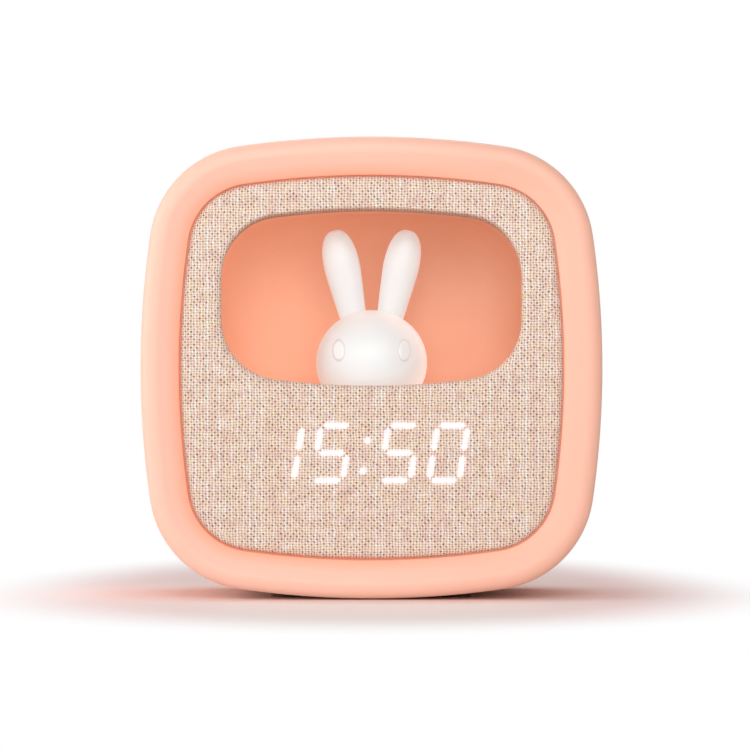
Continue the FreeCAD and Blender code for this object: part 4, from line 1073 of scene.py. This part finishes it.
def floor_finish():
    """Matt, with painted pink reflection and painted shadow, inside the oval SHADOW_REACH, white
    beyond it, plain to other rays.

    In front of the clock the oval ends sooner: there Y counts SHADOW_NEARER times.
    """
    made = bpy.data.materials.new("white_floor")
    made.use_nodes = True
    tree = made.node_tree
    tree.nodes.clear()
    out = tree.nodes.new("ShaderNodeOutputMaterial")
    place = tree.nodes.new("ShaderNodeTexCoord").outputs["Object"]
    at = node(tree, "ShaderNodeSeparateXYZ", {0: place}).outputs
    in_front = math(tree, "LESS_THAN", at["Y"], 0.0)
    nearer = math(tree, "MULTIPLY_ADD", in_front, SHADOW_NEARER - 1, 1.0)
    deep = node(tree, "ShaderNodeCombineXYZ",
                {0: at["X"], 1: math(tree, "MULTIPLY", at["Y"], nearer)}).outputs[0]
    beyond = graded(tree, oval_distance(tree, deep, SHADOW_REACH), 0.6, 1.05)
    matt = node(tree, "ShaderNodeBsdfDiffuse", {"Color": painted_floor_shade(tree, place, at["X"])})
    white = node(tree, "ShaderNodeEmission", {"Color": (1, 1, 1, 1), "Strength": 1.0})
    seen = node(tree, "ShaderNodeMixShader", {0: beyond, 1: matt.outputs[0],
                                              2: white.outputs[0]})
    plain = node(tree, "ShaderNodeBsdfDiffuse", {"Color": (0.93, 0.89, 0.87, 1)})
    rays = tree.nodes.new("ShaderNodeLightPath").outputs["Is Camera Ray"]
    both = node(tree, "ShaderNodeMixShader", {0: rays, 1: plain.outputs[0],
                                              2: seen.outputs[0]})
    tree.links.new(both.outputs[0], out.inputs[0])
    return made


def studio_floor():
    """One flat square round the clock, FLOOR_SIZE wide."""
    corner = np.array([[-1, -1, 0], [1, -1, 0], [1, 1, 0], [-1, 1, 0]]) * FLOOR_SIZE / 2
    mesh = bpy.data.meshes.new("studio_floor")
    mesh.from_pydata(corner, [], [(0, 1, 2, 3)])
    mesh.materials.append(floor_finish())
    floor = bpy.data.objects.new("studio_floor", mesh)
    bpy.context.collection.objects.link(floor)
    return floor


studio_floor()
print("floor", FLOOR_SIZE, "m wide")

# %% [markdown]
# The clock stands in the light of four large soft lamps, two in front, one on the left and one
# above and behind, and of an even dome all round. Small lamps would draw hard highlights on
# the rim, which this casing doesn't show.

# %% Lamps and dome
AIM = (0, 0, CASE_Z)
DOME_LIGHT = 0.38


def soft_lamp(name, at, size, power):
    """A square area lamp at a place, facing the clock's middle."""
    data = bpy.data.lights.new(name, "AREA")
    data.size = size
    data.energy = power
    lamp = bpy.data.objects.new(name, data)
    bpy.context.collection.objects.link(lamp)
    away = np.array(at) - np.array(AIM)
    lamp.location = at
    flat = np.hypot(away[0], away[1])
    lamp.rotation_euler = (np.arctan2(flat, away[2]), 0, np.arctan2(away[0], -away[1]))


def white_dome():
    """Light from all round: 1 to the camera and in reflections, DOME_LIGHT to matt surfaces."""
    world = bpy.data.worlds.new("studio")
    bpy.context.scene.world = world
    world.use_nodes = True
    sky = world.node_tree
    sky.nodes.clear()
    out = sky.nodes.new("ShaderNodeOutputWorld")
    ray = sky.nodes.new("ShaderNodeLightPath")
    direct = math(sky, "MAXIMUM", ray.outputs["Is Camera Ray"], ray.outputs["Is Glossy Ray"])
    direct = math(sky, "MAXIMUM", direct, ray.outputs["Is Transmission Ray"])
    strength = math(sky, "MULTIPLY_ADD", direct, 1 - DOME_LIGHT, DOME_LIGHT)
    dome = node(sky, "ShaderNodeBackground", {"Color": (1, 1, 1, 1), "Strength": strength})
    sky.links.new(dome.outputs[0], out.inputs[0])


soft_lamp("key_front", (0.2, -1.25, 0.55), 0.9, 7.2)
soft_lamp("fill_front", (-0.5, -1.2, 0.35), 0.9, 4.8)
soft_lamp("side_left", (-1.2, -0.1, 0.4), 0.8, 7)
soft_lamp("back_above", (0.0, 0.9, 1.0), 0.8, 3)
white_dome()
bpy.context.scene.view_settings.view_transform = "Standard"
print("lamps:", len(bpy.data.lights))
